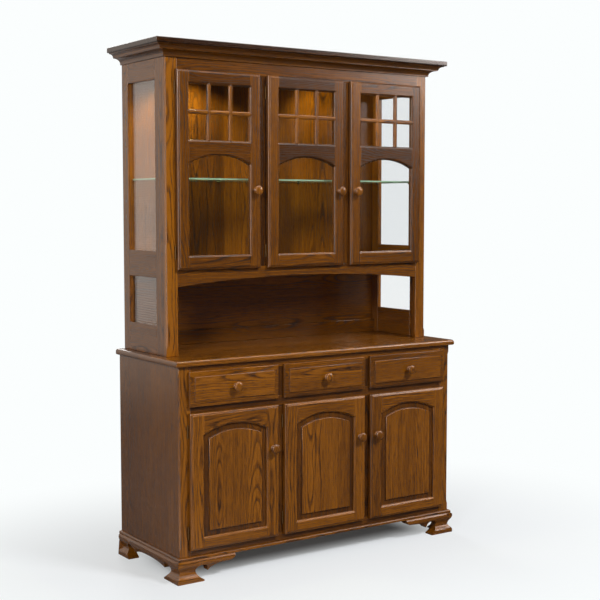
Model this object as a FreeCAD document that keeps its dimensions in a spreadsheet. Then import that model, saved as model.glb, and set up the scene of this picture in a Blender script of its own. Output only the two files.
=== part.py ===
import FreeCAD, Part
import math
import os
import re

# A three-bay buffet with drawers over arched panel doors, and a glazed hutch that stands on its top.
# Lengths are in millimetres. X runs to the right, Y to the back, Z up.
# The origin is on the floor, in the middle of the box that holds the whole piece.

Vector = FreeCAD.Vector
Rotation = FreeCAD.Rotation
TOWARDS_FRONT = Rotation(Vector(1, 0, 0), 90)
TOWARDS_RIGHT = Rotation(Vector(0, 1, 0), 90)
HALF_TURN = Rotation(Vector(0, 0, 1), 180)
EIGHTH_TURN = Rotation(Vector(0, 0, 1), 45)
DOC = FreeCAD.newDocument("BuffetAndHutch")
SHEET = DOC.addObject("Spreadsheet::Sheet", "sizes")

DRIVING = [
    ("base_width", 1364, "buffet carcass, side to side"),
    ("base_depth", 510, "buffet carcass with its face frame, front to back"),
    ("hutch_inset", 24, "hutch side behind the buffet side"),
    ("hutch_setback", 140, "hutch front behind the buffet front"),
    ("bracket_height", 88, "ogee bracket feet"),
    ("bracket_length", 245, "front bracket along the buffet, from the carcass corner"),
    ("bracket_inside", 30, "bracket wood behind the carcass face"),
    ("rear_bracket_length", 80, "plain bracket behind a rear foot"),
    ("rear_bracket_thick", 20, "plain bracket behind a rear foot"),
    ("ogee_top", 9, "bracket face out from the carcass, at its top"),
    ("ogee_bulge", 16.5, "bracket face out from the carcass, at its swell and toe"),
    ("ogee_waist", 1, "bracket face out from the carcass, at its waist"),
    ("platform_thick", 12, "moulded platform between feet and carcass"),
    ("platform_reach", 11, "platform out from the carcass"),
    ("platform_bead", 6, "radius of the platform's rounded edge"),
    ("platform_board", 60, "platform wood behind the carcass face"),
    ("counter_thick", 24, "counter board"),
    ("counter_reach", 17, "counter out from the carcass"),
    ("counter_round", 8, "rounding of the counter's upper edges"),
    ("side_thick", 20, "carcass sides of the buffet and the hutch"),
    ("frame_thick", 20, "face frames"),
    ("back_thick", 8, "back panels"),
    ("shelf_thick", 18, "partitions, buffet bottom and wooden shelves"),
    ("corner_bevel", 5, "stopped bevel on the outer front corners"),
    ("bevel_stop", 30, "plain length at each end of a bevelled corner"),
    ("base_stile", 51, "end stile of the buffet's face frame"),
    ("base_mullion", 49, "inner upright of the buffet's face frame"),
    ("base_bottom_rail", 35, "rail under the buffet doors"),
    ("door_opening_height", 518, "buffet door opening"),
    ("base_mid_rail", 45, "rail between the doors and the drawers"),
    ("drawer_opening_height", 118, "drawer opening"),
    ("base_top_rail", 30, "rail over the drawers"),
    ("base_overlay", 10, "buffet doors and drawer fronts past their openings"),
    ("door_gap", 2.4, "closed doors and drawer fronts in front of the face frame"),
    ("door_thick", 19, "doors and drawer fronts"),
    ("edge_width", 7, "bevelled edge round a door, across its face"),
    ("edge_depth", 5, "bevelled edge round a door, front to back"),
    ("base_door_stile", 60, "upright of a buffet door"),
    ("base_door_top_rail", 53, "top rail of a buffet door, over the arch's crown"),
    ("base_door_bottom_rail", 50, "bottom rail of a buffet door"),
    ("base_arch_rise", 36, "rise of a buffet door's arch"),
    ("panel_plate", 7, "edge of a door panel, in its groove"),
    ("panel_tongue", 8, "depth of a door panel in its groove"),
    ("panel_play", 0.3, "slack round a panel or a pane in its groove"),
    ("panel_back", 3, "frame behind a door panel"),
    ("panel_bevel", 24, "sloping border of a raised field"),
    ("panel_rise", 7, "raised field in front of a panel's edge"),
    ("drawer_bevel", 23, "sloping border of a drawer front"),
    ("drawer_rise", 6, "raised field of a drawer front"),
    ("drawer_play", 3, "drawer box beside its opening"),
    ("drawer_lift", 2, "drawer box over the sill of its opening"),
    ("drawer_board", 12, "sides, back and inner front of a drawer"),
    ("drawer_floor", 6, "bottom of a drawer"),
    ("drawer_floor_lift", 8, "drawer bottom over the lower edge of the drawer sides"),
    ("drawer_side_height", 100, "drawer sides"),
    ("drawer_room", 74, "space behind a closed drawer"),
    ("runner_play", 0.4, "drawer box over its runners"),
    ("runner_height", 24, "drawer runners"),
    ("runner_land", 20, "runner under the drawer, past the edge of its opening"),
    ("knob_length", 30, "turned knob, from the wood to its face"),
    ("knob_radius", 19.5, "knob head"),
    ("knob_head", 9, "half of the knob head's thickness"),
    ("knob_neck", 8, "knob neck at the head"),
    ("knob_foot", 11, "knob neck at the wood"),
    ("base_knob_drop", 173, "buffet door knob below the top of its door"),
    ("hutch_knob_rise", 316, "hutch door knob over the bottom of its door"),
    ("niche_height", 273, "open niche over the counter, at its ends"),
    ("niche_arch_rise", 31, "rise of the arched rail over the niche"),
    ("arched_rail_height", 74, "arched rail at its ends"),
    ("hutch_opening_height", 767, "hutch door opening"),
    ("hutch_top_rail", 98, "hutch rail over the doors"),
    ("hutch_stile", 54, "end stile of the hutch's face frame"),
    ("hutch_mullion", 52, "inner upright of the hutch's face frame"),
    ("hutch_overlay", 8, "hutch doors past their openings"),
    ("glazed_stile", 52, "upright of a glazed door"),
    ("glazed_top_rail", 54, "top rail of a glazed door"),
    ("glazed_bottom_rail", 57, "bottom rail of a glazed door"),
    ("light_height", 100, "small light in a glazed door"),
    ("cross_rail", 58, "rail under the small lights, over the arch's crown"),
    ("cross_arch_rise", 36, "rise of a glazed door's arch"),
    ("bar_width", 17.5, "glazing bar"),
    ("bar_thick", 10, "glazing bar, front to back"),
    ("glass_thick", 4, "window glass"),
    ("glass_tongue", 6, "depth of the glass in its groove"),
    ("glass_back", 3, "frame behind the glass"),
    ("side_front_stile", 62, "front upright of a hutch side"),
    ("side_rear_stile", 52, "rear upright of a hutch side"),
    ("side_bottom_rail", 116, "bottom rail of a hutch side"),
    ("low_window_rise", 34, "top of the window beside the niche, over the niche's ends"),
    ("high_window_rise", 66, "foot of the window beside the hutch doors, over their opening's foot"),
    ("high_window_drop", 26, "top of the window beside the hutch doors, under their opening's top"),
    ("deck_thick", 20, "hutch deck over the niche"),
    ("deck_lip", 8, "arched rail over the deck"),
    ("hutch_top_thick", 20, "hutch top board"),
    ("low_rail_height", 58, "rail along the foot of the niche's back"),
    ("low_rail_thick", 16, "rail along the foot of the niche's back"),
    ("glass_shelf_thick", 6, "glass shelf"),
    ("glass_shelf_height", 697, "glass shelf over the counter"),
    ("glass_shelf_inset", 18, "glass shelf behind the face frame"),
    ("shelf_play", 1, "shelf ends beside the carcass"),
    ("base_shelf_rise", 262, "buffet shelf over the buffet bottom"),
    ("base_shelf_inset", 40, "buffet shelf behind the face frame"),
    ("peg_radius", 3, "shelf peg"),
    ("peg_length", 12, "shelf peg"),
    ("peg_inset", 45, "shelf peg from the shelf's front or rear edge"),
    ("crown_height", 45, "crown moulding"),
    ("crown_reach", 56, "crown moulding out from the hutch"),
    ("crown_fillet", 6, "small flats of the crown moulding"),
    ("cap_thick", 20, "cap board on the crown"),
    ("cap_reach", 66, "cap board out from the hutch"),
    ("cap_ease", 1.5, "easing of the cap board's edges"),
    ("lamp_left", 400, "left round lamp from the middle of the hutch"),
    ("lamp_right", 200, "right round lamp from the middle of the hutch"),
    ("puck_radius", 34, "round lamp under the hutch top"),
    ("puck_height", 16, "round lamp under the hutch top"),
    ("lens_radius", 27, "lens of a round lamp"),
    ("lens_height", 4, "lens of a round lamp"),
    ("barrel_radius", 3.2, "hinge knuckle"),
    ("hinge_pin", 1.6, "hinge pin radius"),
    ("pin_play", 0.05, "hinge knuckle round its pin"),
    ("leaf_thick", 1, "hinge leaf"),
    ("frame_leaf_width", 6.5, "hinge leaf on the face frame"),
    ("door_leaf_width", 26, "hinge leaf on the door"),
    ("hinge_height", 50, "hinge"),
    ("knuckle_height", 19, "middle knuckle of a hinge"),
    ("knuckle_play", 0.4, "gap between knuckles"),
    ("barrel_play", 0.5, "hinge knuckle beside its door"),
    ("hinge_inset", 70, "middle of a hinge from the end of its door"),
]

DERIVED = [
    ("front_reach", "door_gap + door_thick + knob_length"),
    ("frame_front", "(front_reach - base_depth) / 2"),
    ("frame_rear", "frame_front + frame_thick"),
    ("base_rear", "(front_reach + base_depth) / 2"),
    ("base_half", "base_width / 2"),
    ("base_inner", "base_width / 2 - side_thick"),
    ("back_front", "base_rear - back_thick"),
    ("carcass_low", "bracket_height + platform_thick"),
    ("door_opening_low", "carcass_low + base_bottom_rail"),
    ("mid_rail_low", "door_opening_low + door_opening_height"),
    ("drawer_opening_low", "mid_rail_low + base_mid_rail"),
    ("top_rail_low", "drawer_opening_low + drawer_opening_height"),
    ("carcass_high", "top_rail_low + base_top_rail"),
    ("counter_high", "carcass_high + counter_thick"),
    ("base_bay", "(base_width - 2 * base_stile - 2 * base_mullion) / 3"),
    ("base_pitch", "base_bay + base_mullion"),
    ("base_door_width", "base_bay + 2 * base_overlay"),
    ("base_door_height", "door_opening_height + 2 * base_overlay"),
    ("base_door_low", "door_opening_low - base_overlay"),
    ("base_door_high", "base_door_low + base_door_height"),
    ("base_door_rear", "frame_front - door_gap"),
    ("drawer_front_height", "drawer_opening_height + 2 * base_overlay"),
    ("drawer_front_low", "drawer_opening_low - base_overlay"),
    ("drawer_depth", "back_front - drawer_room - base_door_rear"),
    ("drawer_box_width", "base_bay - 2 * drawer_play"),
    ("drawer_box_low", "drawer_opening_low + drawer_lift"),
    ("hutch_width", "base_width - 2 * hutch_inset"),
    ("hutch_half", "hutch_width / 2"),
    ("hutch_inner", "hutch_width / 2 - side_thick"),
    ("hutch_front", "frame_front + hutch_setback"),
    ("hutch_frame_rear", "hutch_front + frame_thick"),
    ("hutch_depth_inside", "back_front - hutch_frame_rear"),
    ("arch_low", "counter_high + niche_height"),
    ("hutch_opening_low", "arch_low + arched_rail_height"),
    ("hutch_opening_high", "hutch_opening_low + hutch_opening_height"),
    ("hutch_high", "hutch_opening_high + hutch_top_rail"),
    ("hutch_bay", "(hutch_width - 2 * hutch_stile - 2 * hutch_mullion) / 3"),
    ("hutch_pitch", "hutch_bay + hutch_mullion"),
    ("hutch_door_width", "hutch_bay + 2 * hutch_overlay"),
    ("hutch_door_height", "hutch_opening_height + 2 * hutch_overlay"),
    ("hutch_door_low", "hutch_opening_low - hutch_overlay"),
    ("hutch_door_high", "hutch_door_low + hutch_door_height"),
    ("hutch_door_rear", "hutch_front - door_gap"),
    ("deck_low", "hutch_opening_low - deck_lip - deck_thick"),
    ("hutch_ceiling", "hutch_high - hutch_top_thick"),
    ("low_window_low", "counter_high + side_bottom_rail"),
    ("low_window_high", "arch_low + low_window_rise"),
    ("high_window_low", "hutch_opening_low + high_window_rise"),
    ("high_window_high", "hutch_opening_high - high_window_drop"),
    ("window_front", "hutch_frame_rear + side_front_stile"),
    ("window_rear", "base_rear - side_rear_stile"),
    ("glass_shelf_low", "counter_high + glass_shelf_height"),
    ("base_shelf_low", "carcass_low + shelf_thick + base_shelf_rise"),
    ("panel_low", "base_door_low + base_door_bottom_rail"),
    ("panel_tall", "base_door_high - base_door_top_rail - panel_low"),
    ("base_arch_half", "base_door_width / 2 - base_door_stile"),
    ("base_arch_radius", "(base_arch_half ^ 2 + base_arch_rise ^ 2) / (2 * base_arch_rise)"),
    ("base_arch_crown", "base_door_high - base_door_top_rail"),
    ("base_arch_centre", "base_arch_crown - base_arch_radius"),
    ("cross_arch_half", "hutch_door_width / 2 - glazed_stile"),
    ("cross_arch_radius", "(cross_arch_half ^ 2 + cross_arch_rise ^ 2) / (2 * cross_arch_rise)"),
    ("lights_high", "hutch_door_high - glazed_top_rail"),
    ("lights_low", "lights_high - 2 * light_height - bar_width"),
    ("lights_tall", "lights_high - lights_low"),
    ("cross_arch_crown", "lights_low - cross_rail"),
    ("pane_low", "hutch_door_low + glazed_bottom_rail"),
    ("pane_tall", "cross_arch_crown - pane_low"),
    ("cross_arch_centre", "cross_arch_crown - cross_arch_radius"),
    ("niche_arch_half", "hutch_half - hutch_stile"),
    ("niche_arch_radius", "(niche_arch_half ^ 2 + niche_arch_rise ^ 2) / (2 * niche_arch_rise)"),
    ("niche_arch_centre", "arch_low + niche_arch_rise - niche_arch_radius"),
    ("hinge_side", "barrel_radius + barrel_play"),
    ("hinge_front", "barrel_radius + knuckle_play"),
]

ALIASES = {name for name, *rest in DRIVING + DERIVED}
BAYS = {"left": -1, "middle": 0, "right": 1}
HINGE_SIDES = {"left": -1, "middle": -1, "right": 1}
PIECES = []

# The scroll-cut lower edge of a bracket: shares of its length from the corner, and of its height.
FOOT_TIP_SHARES = (0.41, 0.07)
NOTCH_CURVE_SHARES = ((0.32, 0.24), (0.275, 0.52))
NOTCH_CROWN_SHARES = ((0.385, 0.74), (0.485, 0.60))
SPUR_SHARES = (0.505, 0.41)
WING_CURVE_SHARES = ((0.60, 0.60), (0.72, 0.70))
WING_END_SHARES = (0.93, 0.74)
WING_TIP_SHARES = ((0.97, 0.82), (1.0, 1.0))
# The apron between the feet of a buffet side hangs a little lower than a front wing.
APRON_SHARES = (0.58, 0.62)
# The ogee face of a bracket: shares of its height at the swell, the turn, the waist, the toe and the sole.
OGEE_SHARES = {"swell": 0.87, "turn": 0.66, "waist": 0.42, "toe": 0.14, "sole": 0.03}
# The crown's hollow and its upper round: shares of its height and of its reach.
CROWN_SHARES = {
    "hollow_low": 0.13,
    "hollow_mid": 0.30,
    "hollow_mid_rise": 0.46,
    "hollow_high": 0.60,
    "hollow_reach": 0.66,
}


def fill_sheet():
    """Writes every driving size and every size worked out from them into the sheet."""
    rows = [(name, str(value), note) for name, value, note in DRIVING]
    rows += [(name, "=" + formula, "worked out") for name, formula in DERIVED]
    for row, (name, content, note) in enumerate(rows, start=1):
        SHEET.set(f"A{row}", name)
        SHEET.set(f"B{row}", content)
        SHEET.set(f"C{row}", note)
        SHEET.setAlias(f"B{row}", name)
    DOC.recompute()


def size(name):
    """Reads one size from the sheet."""
    return float(SHEET.get(name))


def tie(words):
    """Turns words such as 'base_half - side_thick' into an expression on the sheet."""
    def known(match):
        name = match.group(0)
        return f"sizes.{name}" if name in ALIASES else name

    return re.sub(r"[a-z][a-z_]*", known, words)


def bind(item, **formulas):
    """Ties an object's properties to the sheet."""
    for name, words in formulas.items():
        item.setExpression(name, tie(words))


def place(item, corner, rotation=None):
    """Turns an object and ties its position to the sheet."""
    if rotation is not None:
        item.Placement = FreeCAD.Placement(Vector(), rotation)
    for axis, words in zip("xyz", corner):
        item.setExpression(f"Placement.Base.{axis}", tie(words))
    return item


def board(corner, extent, rotation=None):
    """A square-edged board from its low corner and its three sizes."""
    item = DOC.addObject("Part::Box", "board")
    bind(item, Length=extent[0], Width=extent[1], Height=extent[2])
    return place(item, corner, rotation)


def rod(corner, radius, length, rotation=None):
    """A round bar that starts at a point and runs upwards, or the way that the rotation turns it."""
    item = DOC.addObject("Part::Cylinder", "rod")
    bind(item, Radius=radius, Height=length)
    return place(item, corner, rotation)


def taper(corner, low_radius, high_radius, length, rotation=None):
    """A round bar whose radius changes along its length."""
    item = DOC.addObject("Part::Cone", "taper")
    bind(item, Radius1=low_radius, Radius2=high_radius, Height=length)
    return place(item, corner, rotation)


def slope_block(centre_low, width, height, rise, border):
    """A block on an upright board's front whose four sides slope in by the border's width."""
    item = DOC.addObject("Part::Wedge", "slope")
    bind(item, Xmin=f"-({width}) / 2", Xmax=f"({width}) / 2", Zmin="0", Zmax=height, Ymin="0", Ymax=rise)
    bind(item, X2min=f"{border} - ({width}) / 2", X2max=f"({width}) / 2 - {border}")
    bind(item, Z2min=border, Z2max=f"{height} - {border}")
    return place(item, centre_low, HALF_TURN)


def cut(base, tool):
    """What is left of one object when another is taken out of it."""
    item = DOC.addObject("Part::Cut", "cut")
    item.Base = base
    item.Tool = tool
    return item


def shared(first, second):
    """What two objects have in common."""
    item = DOC.addObject("Part::Common", "shared")
    item.Base = first
    item.Tool = second
    return item


def joined(first, second):
    """Two objects made one solid."""
    item = DOC.addObject("Part::Fuse", "joined")
    item.Base = first
    item.Tool = second
    item.Refine = True
    return item


def piece(label, *members):
    """Names a piece, which is one object or a group of separate solids."""
    if len(members) == 1:
        item = members[0]
    else:
        item = DOC.addObject("Part::Compound", "group")
        item.Links = list(members)
    item.Label = label
    PIECES.append(item)
    return item


def shaped_piece(label, *solids):
    """Names a piece whose solids come from Part's own functions."""
    item = DOC.addObject("Part::Feature", "shaped")
    item.Shape = solids[0] if len(solids) == 1 else Part.makeCompound(list(solids))
    item.Placement = FreeCAD.Placement()
    item.Label = label
    PIECES.append(item)
    return item


def edge_names(shape, wanted):
    """Names of the edges whose middle passes a test."""
    return [f"Edge{n}" for n, edge in enumerate(shape.Edges, start=1) if wanted(edge.BoundBox.Center)]


def outline_face(start, steps, spot):
    """A flat face from a start point and steps: one point is a straight run, two are an arc."""
    edges = []
    here = start
    for step in steps:
        if len(step) == 2 and isinstance(step[0], tuple):
            edges.append(Part.Arc(spot(*here), spot(*step[0]), spot(*step[1])).toShape())
            here = step[1]
        else:
            edges.append(Part.LineSegment(spot(*here), spot(*step)).toShape())
            here = step
    edges.append(Part.LineSegment(spot(*here), spot(*start)).toShape())
    return Part.Face(Part.Wire(edges))


def prism(points, low, height):
    """An upright prism over a polygon on plan."""
    corners = [Vector(x, y, low) for x, y in points]
    return Part.Face(Part.makePolygon(corners + corners[:1])).extrude(Vector(0, 0, height))


def mitred_runs(start, steps, half, front, low, height, reach, inside):
    """A moulding along the front and both sides, mitred at the corners: the front, left and right runs.

    Its section is given as steps of (distance out from the carcass, height).
    """
    rear = size("base_rear")
    across = 2 * (half + reach)

    def front_spot(out, up):
        return Vector(-half - reach, front - out, low + up)

    front_face = outline_face(start, steps, front_spot)
    front_zone = [(-half - reach, front - reach), (half + reach, front - reach),
                  (half - inside, front + inside), (-half + inside, front + inside)]
    runs = [front_face.extrude(Vector(across, 0, 0)).common(prism(front_zone, low, height))]
    for hand in (-1, 1):
        def side_spot(out, up):
            return Vector(hand * (half + out), front - reach, low + up)

        side_face = outline_face(start, steps, side_spot)
        side_zone = [(hand * (half + reach), front - reach), (hand * (half - inside), front + inside),
                     (hand * (half - inside), rear), (hand * (half + reach), rear)]
        run = side_face.extrude(Vector(0, rear - front + reach, 0))
        runs.append(run.common(prism(side_zone, low, height)))
    return [run.Solids[0] for run in runs]


def make_carcass():
    """Buffet sides, bottom, back, partitions, shelves, drawer runners and their pegs."""
    depth = "base_rear - frame_rear"
    inside = "back_front - frame_rear"
    tall = "carcass_high - carcass_low"
    piece("base_sides", *[board((low, "frame_rear", "carcass_low"), ("side_thick", depth, tall))
                          for low in ("-base_half", "base_inner")])
    span = "2 * base_inner"
    piece("base_bottom", board(("-base_inner", "frame_rear", "carcass_low"), (span, inside, "shelf_thick")))
    piece("base_back", board(("-base_inner", "back_front", "carcass_low"), (span, "back_thick", tall)))
    standing = "carcass_low + shelf_thick"
    piece("base_partitions", *[
        board((f"{hand} * base_pitch / 2 - shelf_thick / 2", "frame_rear", standing),
              ("shelf_thick", inside, f"carcass_high - ({standing})"))
        for hand in (-1, 1)])
    walls = {
        "left": ("-base_inner", "-(base_pitch + shelf_thick) / 2"),
        "middle": ("-(base_pitch - shelf_thick) / 2", "(base_pitch - shelf_thick) / 2"),
        "right": ("(base_pitch + shelf_thick) / 2", "base_inner"),
    }
    shelves = []
    runners = []
    pegs = []
    shelf_front = "frame_rear + base_shelf_inset"
    shelf_deep = f"back_front - shelf_play - ({shelf_front})"
    runner_low = "drawer_box_low - runner_play - runner_height"
    peg_middle = "base_shelf_low - peg_radius"
    for bay, number in BAYS.items():
        low, high = walls[bay]
        shelves.append(board(
            (f"{low} + shelf_play", shelf_front, "base_shelf_low"),
            (f"{high} - ({low}) - 2 * shelf_play", shelf_deep, "shelf_thick")))
        left_edge = f"{number} * base_pitch - base_bay / 2"
        right_edge = f"{number} * base_pitch + base_bay / 2"
        left_width = f"{left_edge} + runner_land - ({low})"
        right_low = f"{right_edge} - runner_land"
        right_width = f"{high} - ({right_low})"
        for start, width in ((low, left_width), (right_low, right_width)):
            runners.append(board((start, "frame_rear", runner_low), (width, inside, "runner_height")))
        for spot in (f"{shelf_front} + peg_inset", "back_front - shelf_play - peg_inset"):
            for start in (low, f"{high} - peg_length"):
                pegs.append(rod((start, spot, peg_middle), "peg_radius", "peg_length", TOWARDS_RIGHT))
    piece("base_shelves", *shelves)
    piece("drawer_runners", *runners)
    return pegs


def bevelled_stile(hand, half, width, front, low, high):
    """An end stile whose outer front corner has a bevel that stops short of both ends."""
    inner = f"{half} - {width}" if hand > 0 else f"-{half}"
    stile = board((inner, front, low), (width, "frame_thick", f"{high} - {low}"))
    square = "corner_bevel * sqrt(2)"
    bevel = board((f"{hand} * {half}", f"{front} - corner_bevel", f"{low} + bevel_stop"),
                  (square, square, f"{high} - {low} - 2 * bevel_stop"), EIGHTH_TURN)
    return cut(stile, bevel)


def make_base_frame():
    """Face frame of the buffet: end stiles, short uprights and three rails."""
    stiles = [bevelled_stile(hand, "base_half", "base_stile", "frame_front", "carcass_low", "carcass_high")
              for hand in (-1, 1)]
    mullions = []
    openings = (("door_opening_low", "door_opening_height"), ("drawer_opening_low", "drawer_opening_height"))
    for hand in (-1, 1):
        left = f"{hand} * base_pitch / 2 - base_mullion / 2"
        for low, tall in openings:
            mullions.append(board((left, "frame_front", low), ("base_mullion", "frame_thick", tall)))
    piece("base_stiles", *stiles, *mullions)
    span = "base_width - 2 * base_stile"
    piece("base_rails", *[
        board(("base_stile - base_half", "frame_front", low), (span, "frame_thick", tall))
        for low, tall in (("carcass_low", "base_bottom_rail"), ("mid_rail_low", "base_mid_rail"),
                          ("top_rail_low", "base_top_rail"))])


def make_counter():
    """Counter board with rounded upper edges along the front and the sides."""
    body = DOC.addObject("PartDesign::Body", "counter")
    slab = DOC.addObject("PartDesign::AdditiveBox", "slab")
    body.addObject(slab)
    bind(slab, Length="base_width + 2 * counter_reach", Width="base_depth + counter_reach")
    bind(slab, Height="counter_thick")
    DOC.recompute()
    box = slab.Shape.BoundBox

    def upper_and_seen(middle):
        return math.isclose(middle.z, box.ZMax) and not math.isclose(middle.y, box.YMax)

    names = edge_names(slab.Shape, upper_and_seen)
    rounding = body.newObject("PartDesign::Fillet", "rounding")
    rounding.Base = (slab, names)
    bind(rounding, Radius="counter_round")
    place(body, ("-base_half - counter_reach", "frame_front - counter_reach", "carcass_high"))
    piece("counter_top", body)


def make_platform():
    """Moulded platform under the carcass: three mitred runs and a plain rail along the back."""
    reach, thick, bead = size("platform_reach"), size("platform_thick"), size("platform_bead")
    inside = size("platform_board")
    half, front, rear = size("base_half"), size("frame_front"), size("base_rear")
    low = size("bracket_height")
    nose = (reach - bead * (1 - math.sqrt(0.5)), thick - bead * (1 - math.sqrt(0.5)))
    steps = [(reach, 0), (reach, thick - bead), (nose, (reach - bead, thick)), (-inside, thick)]
    runs = mitred_runs((-inside, 0), steps, half, front, low, thick, reach, inside)
    wide = 2 * (half - inside)
    rail = Part.makeBox(wide, inside, thick, Vector(-wide / 2, rear - inside, low))
    shaped_piece("platform_moulding", *runs, rail)


def bracket_steps(length, height):
    """Lower edge of a bracket from the inner tip of its foot to the spur beyond its notch."""
    def at(shares):
        return (shares[0] * length, shares[1] * height)

    def curve(pair):
        return tuple(at(shares) for shares in pair)

    foot = [(FOOT_TIP_SHARES[0] * length, 0), at(FOOT_TIP_SHARES)]
    notch = [curve(NOTCH_CURVE_SHARES), curve(NOTCH_CROWN_SHARES), at(SPUR_SHARES)]
    wing = [curve(WING_CURVE_SHARES), at(WING_END_SHARES), curve(WING_TIP_SHARES)]
    return foot + notch, wing


def mirrored_steps(start, steps, span):
    """The same edge walked backwards from the other end of a board of the given span."""
    points = [start]
    kinds = []
    for step in steps:
        if isinstance(step[0], tuple):
            kinds.append(step[0])
            points.append(step[1])
        else:
            kinds.append(None)
            points.append(step)
    back = []
    for middle, goal in zip(reversed(kinds), reversed(points[:-1])):
        end = (span - goal[0], goal[1])
        back.append(end if middle is None else ((span - middle[0], middle[1]), end))
    return back


def make_brackets():
    """Ogee bracket feet: two short front brackets, a long board under each side and plain rear brackets."""
    height, length, inside = size("bracket_height"), size("bracket_length"), size("bracket_inside")
    bulge, waist, top = size("ogee_bulge"), size("ogee_waist"), size("ogee_top")
    half, front, rear = size("base_half"), size("frame_front"), size("base_rear")
    rise = {name: share * height for name, share in OGEE_SHARES.items()}
    turn = (bulge + waist) / 2
    ankle = (rise["waist"] + rise["toe"]) / 2
    swell = ((bulge, rise["swell"]), (turn, rise["turn"]))
    hollow = ((waist, rise["waist"]), (turn, ankle))
    sole = [(bulge, rise["toe"]), (bulge, rise["sole"]), (bulge - rise["sole"], 0), (-inside, 0)]
    ogee = [(top, height), swell, hollow] + sole
    runs = mitred_runs((-inside, height), ogee, half, front, 0, height, bulge, inside)
    foot, wing = bracket_steps(length, height)
    deep = bulge + inside
    fronts = []
    for hand in (-1, 1):
        def front_spot(along, up):
            return Vector(hand * (half - along), front - bulge, up)

        edge = outline_face((-bulge, height), [(-bulge, 0)] + foot + wing, front_spot)
        fronts.append(runs[0].common(edge.extrude(Vector(0, deep, 0))).Solids[0])
    span = rear - front
    spur = foot[-1]
    middle = (span / 2, APRON_SHARES[1] * height)
    climb = (spur[0] + (middle[0] - spur[0]) / 2, APRON_SHARES[0] * height)
    fall = (span - climb[0], climb[1])
    far_spur = (span - spur[0], spur[1])
    side_edge = [(-bulge, 0)] + foot + [(climb, middle), (fall, far_spur)]
    side_edge += mirrored_steps((-bulge, 0), foot, span)[:-1] + [(span, 0), (span, height)]
    sides = []
    for hand, run in zip((-1, 1), runs[1:]):
        def side_spot(along, up):
            return Vector(hand * (half + bulge), front + along, up)

        edge = outline_face((-bulge, height), side_edge, side_spot)
        sides.append(run.common(edge.extrude(Vector(-hand * deep, 0, 0))).Solids[0])
    rear_long, rear_thick = size("rear_bracket_length"), size("rear_bracket_thick")
    rears = [Part.makeBox(rear_long, rear_thick, height, Vector(low, rear - rear_thick, 0))
             for low in (inside - half, half - inside - rear_long)]
    shaped_piece("bracket_feet", *fronts, *sides, *rears)


def door_blank(middle, low, width, height, rear):
    """A door's outer form: a flat blank whose front edges slope back all round."""
    shoulder = f"{rear} - door_thick + edge_depth"
    flat = board((f"{middle} - {width} / 2", shoulder, low), (width, "door_thick - edge_depth", height))
    crest = slope_block((middle, shoulder, low), width, height, "edge_depth", "edge_width")
    return joined(flat, crest)


def make_knob(label, middle, face, height):
    """A turned knob with a tapered neck and a rounded head, pointing to the front."""
    neck = taper((middle, face, height), "knob_foot", "knob_neck", "knob_length - knob_head", TOWARDS_FRONT)
    head = DOC.addObject("Part::Ellipsoid", "head")
    bind(head, Radius1="knob_head", Radius2="knob_radius", Radius3="knob_radius")
    place(head, (middle, f"{face} - knob_length + knob_head", height), TOWARDS_FRONT)
    piece(label, joined(neck, head))


def make_drawers():
    """Each drawer: a raised front, a box of five boards behind it and a knob."""
    for bay, number in BAYS.items():
        middle = f"{number} * base_pitch"
        face = "base_door_rear - door_thick"
        flat = board((f"{middle} - base_door_width / 2", f"{face} + drawer_rise", "drawer_front_low"),
                     ("base_door_width", "door_thick - drawer_rise", "drawer_front_height"))
        field = slope_block((middle, f"{face} + drawer_rise", "drawer_front_low"),
                            "base_door_width", "drawer_front_height", "drawer_rise", "drawer_bevel")
        piece(f"{bay}_drawer_front", joined(flat, field))
        left = f"{middle} - drawer_box_width / 2"
        inner_left = f"{left} + drawer_board"
        inner = "drawer_box_width - 2 * drawer_board"
        start = "base_door_rear"
        sides = [board((x, start, "drawer_box_low"), ("drawer_board", "drawer_depth", "drawer_side_height"))
                 for x in (left, f"{left} + drawer_box_width - drawer_board")]
        ends = [board((inner_left, y, "drawer_box_low"), (inner, "drawer_board", "drawer_side_height"))
                for y in (start, f"{start} + drawer_depth - drawer_board")]
        floor = board((inner_left, f"{start} + drawer_board", "drawer_box_low + drawer_floor_lift"),
                      (inner, "drawer_depth - 2 * drawer_board", "drawer_floor"))
        piece(f"{bay}_drawer_box", *sides, *ends, floor)
        make_knob(f"{bay}_drawer_knob", middle, face, "drawer_front_low + drawer_front_height / 2")


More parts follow.
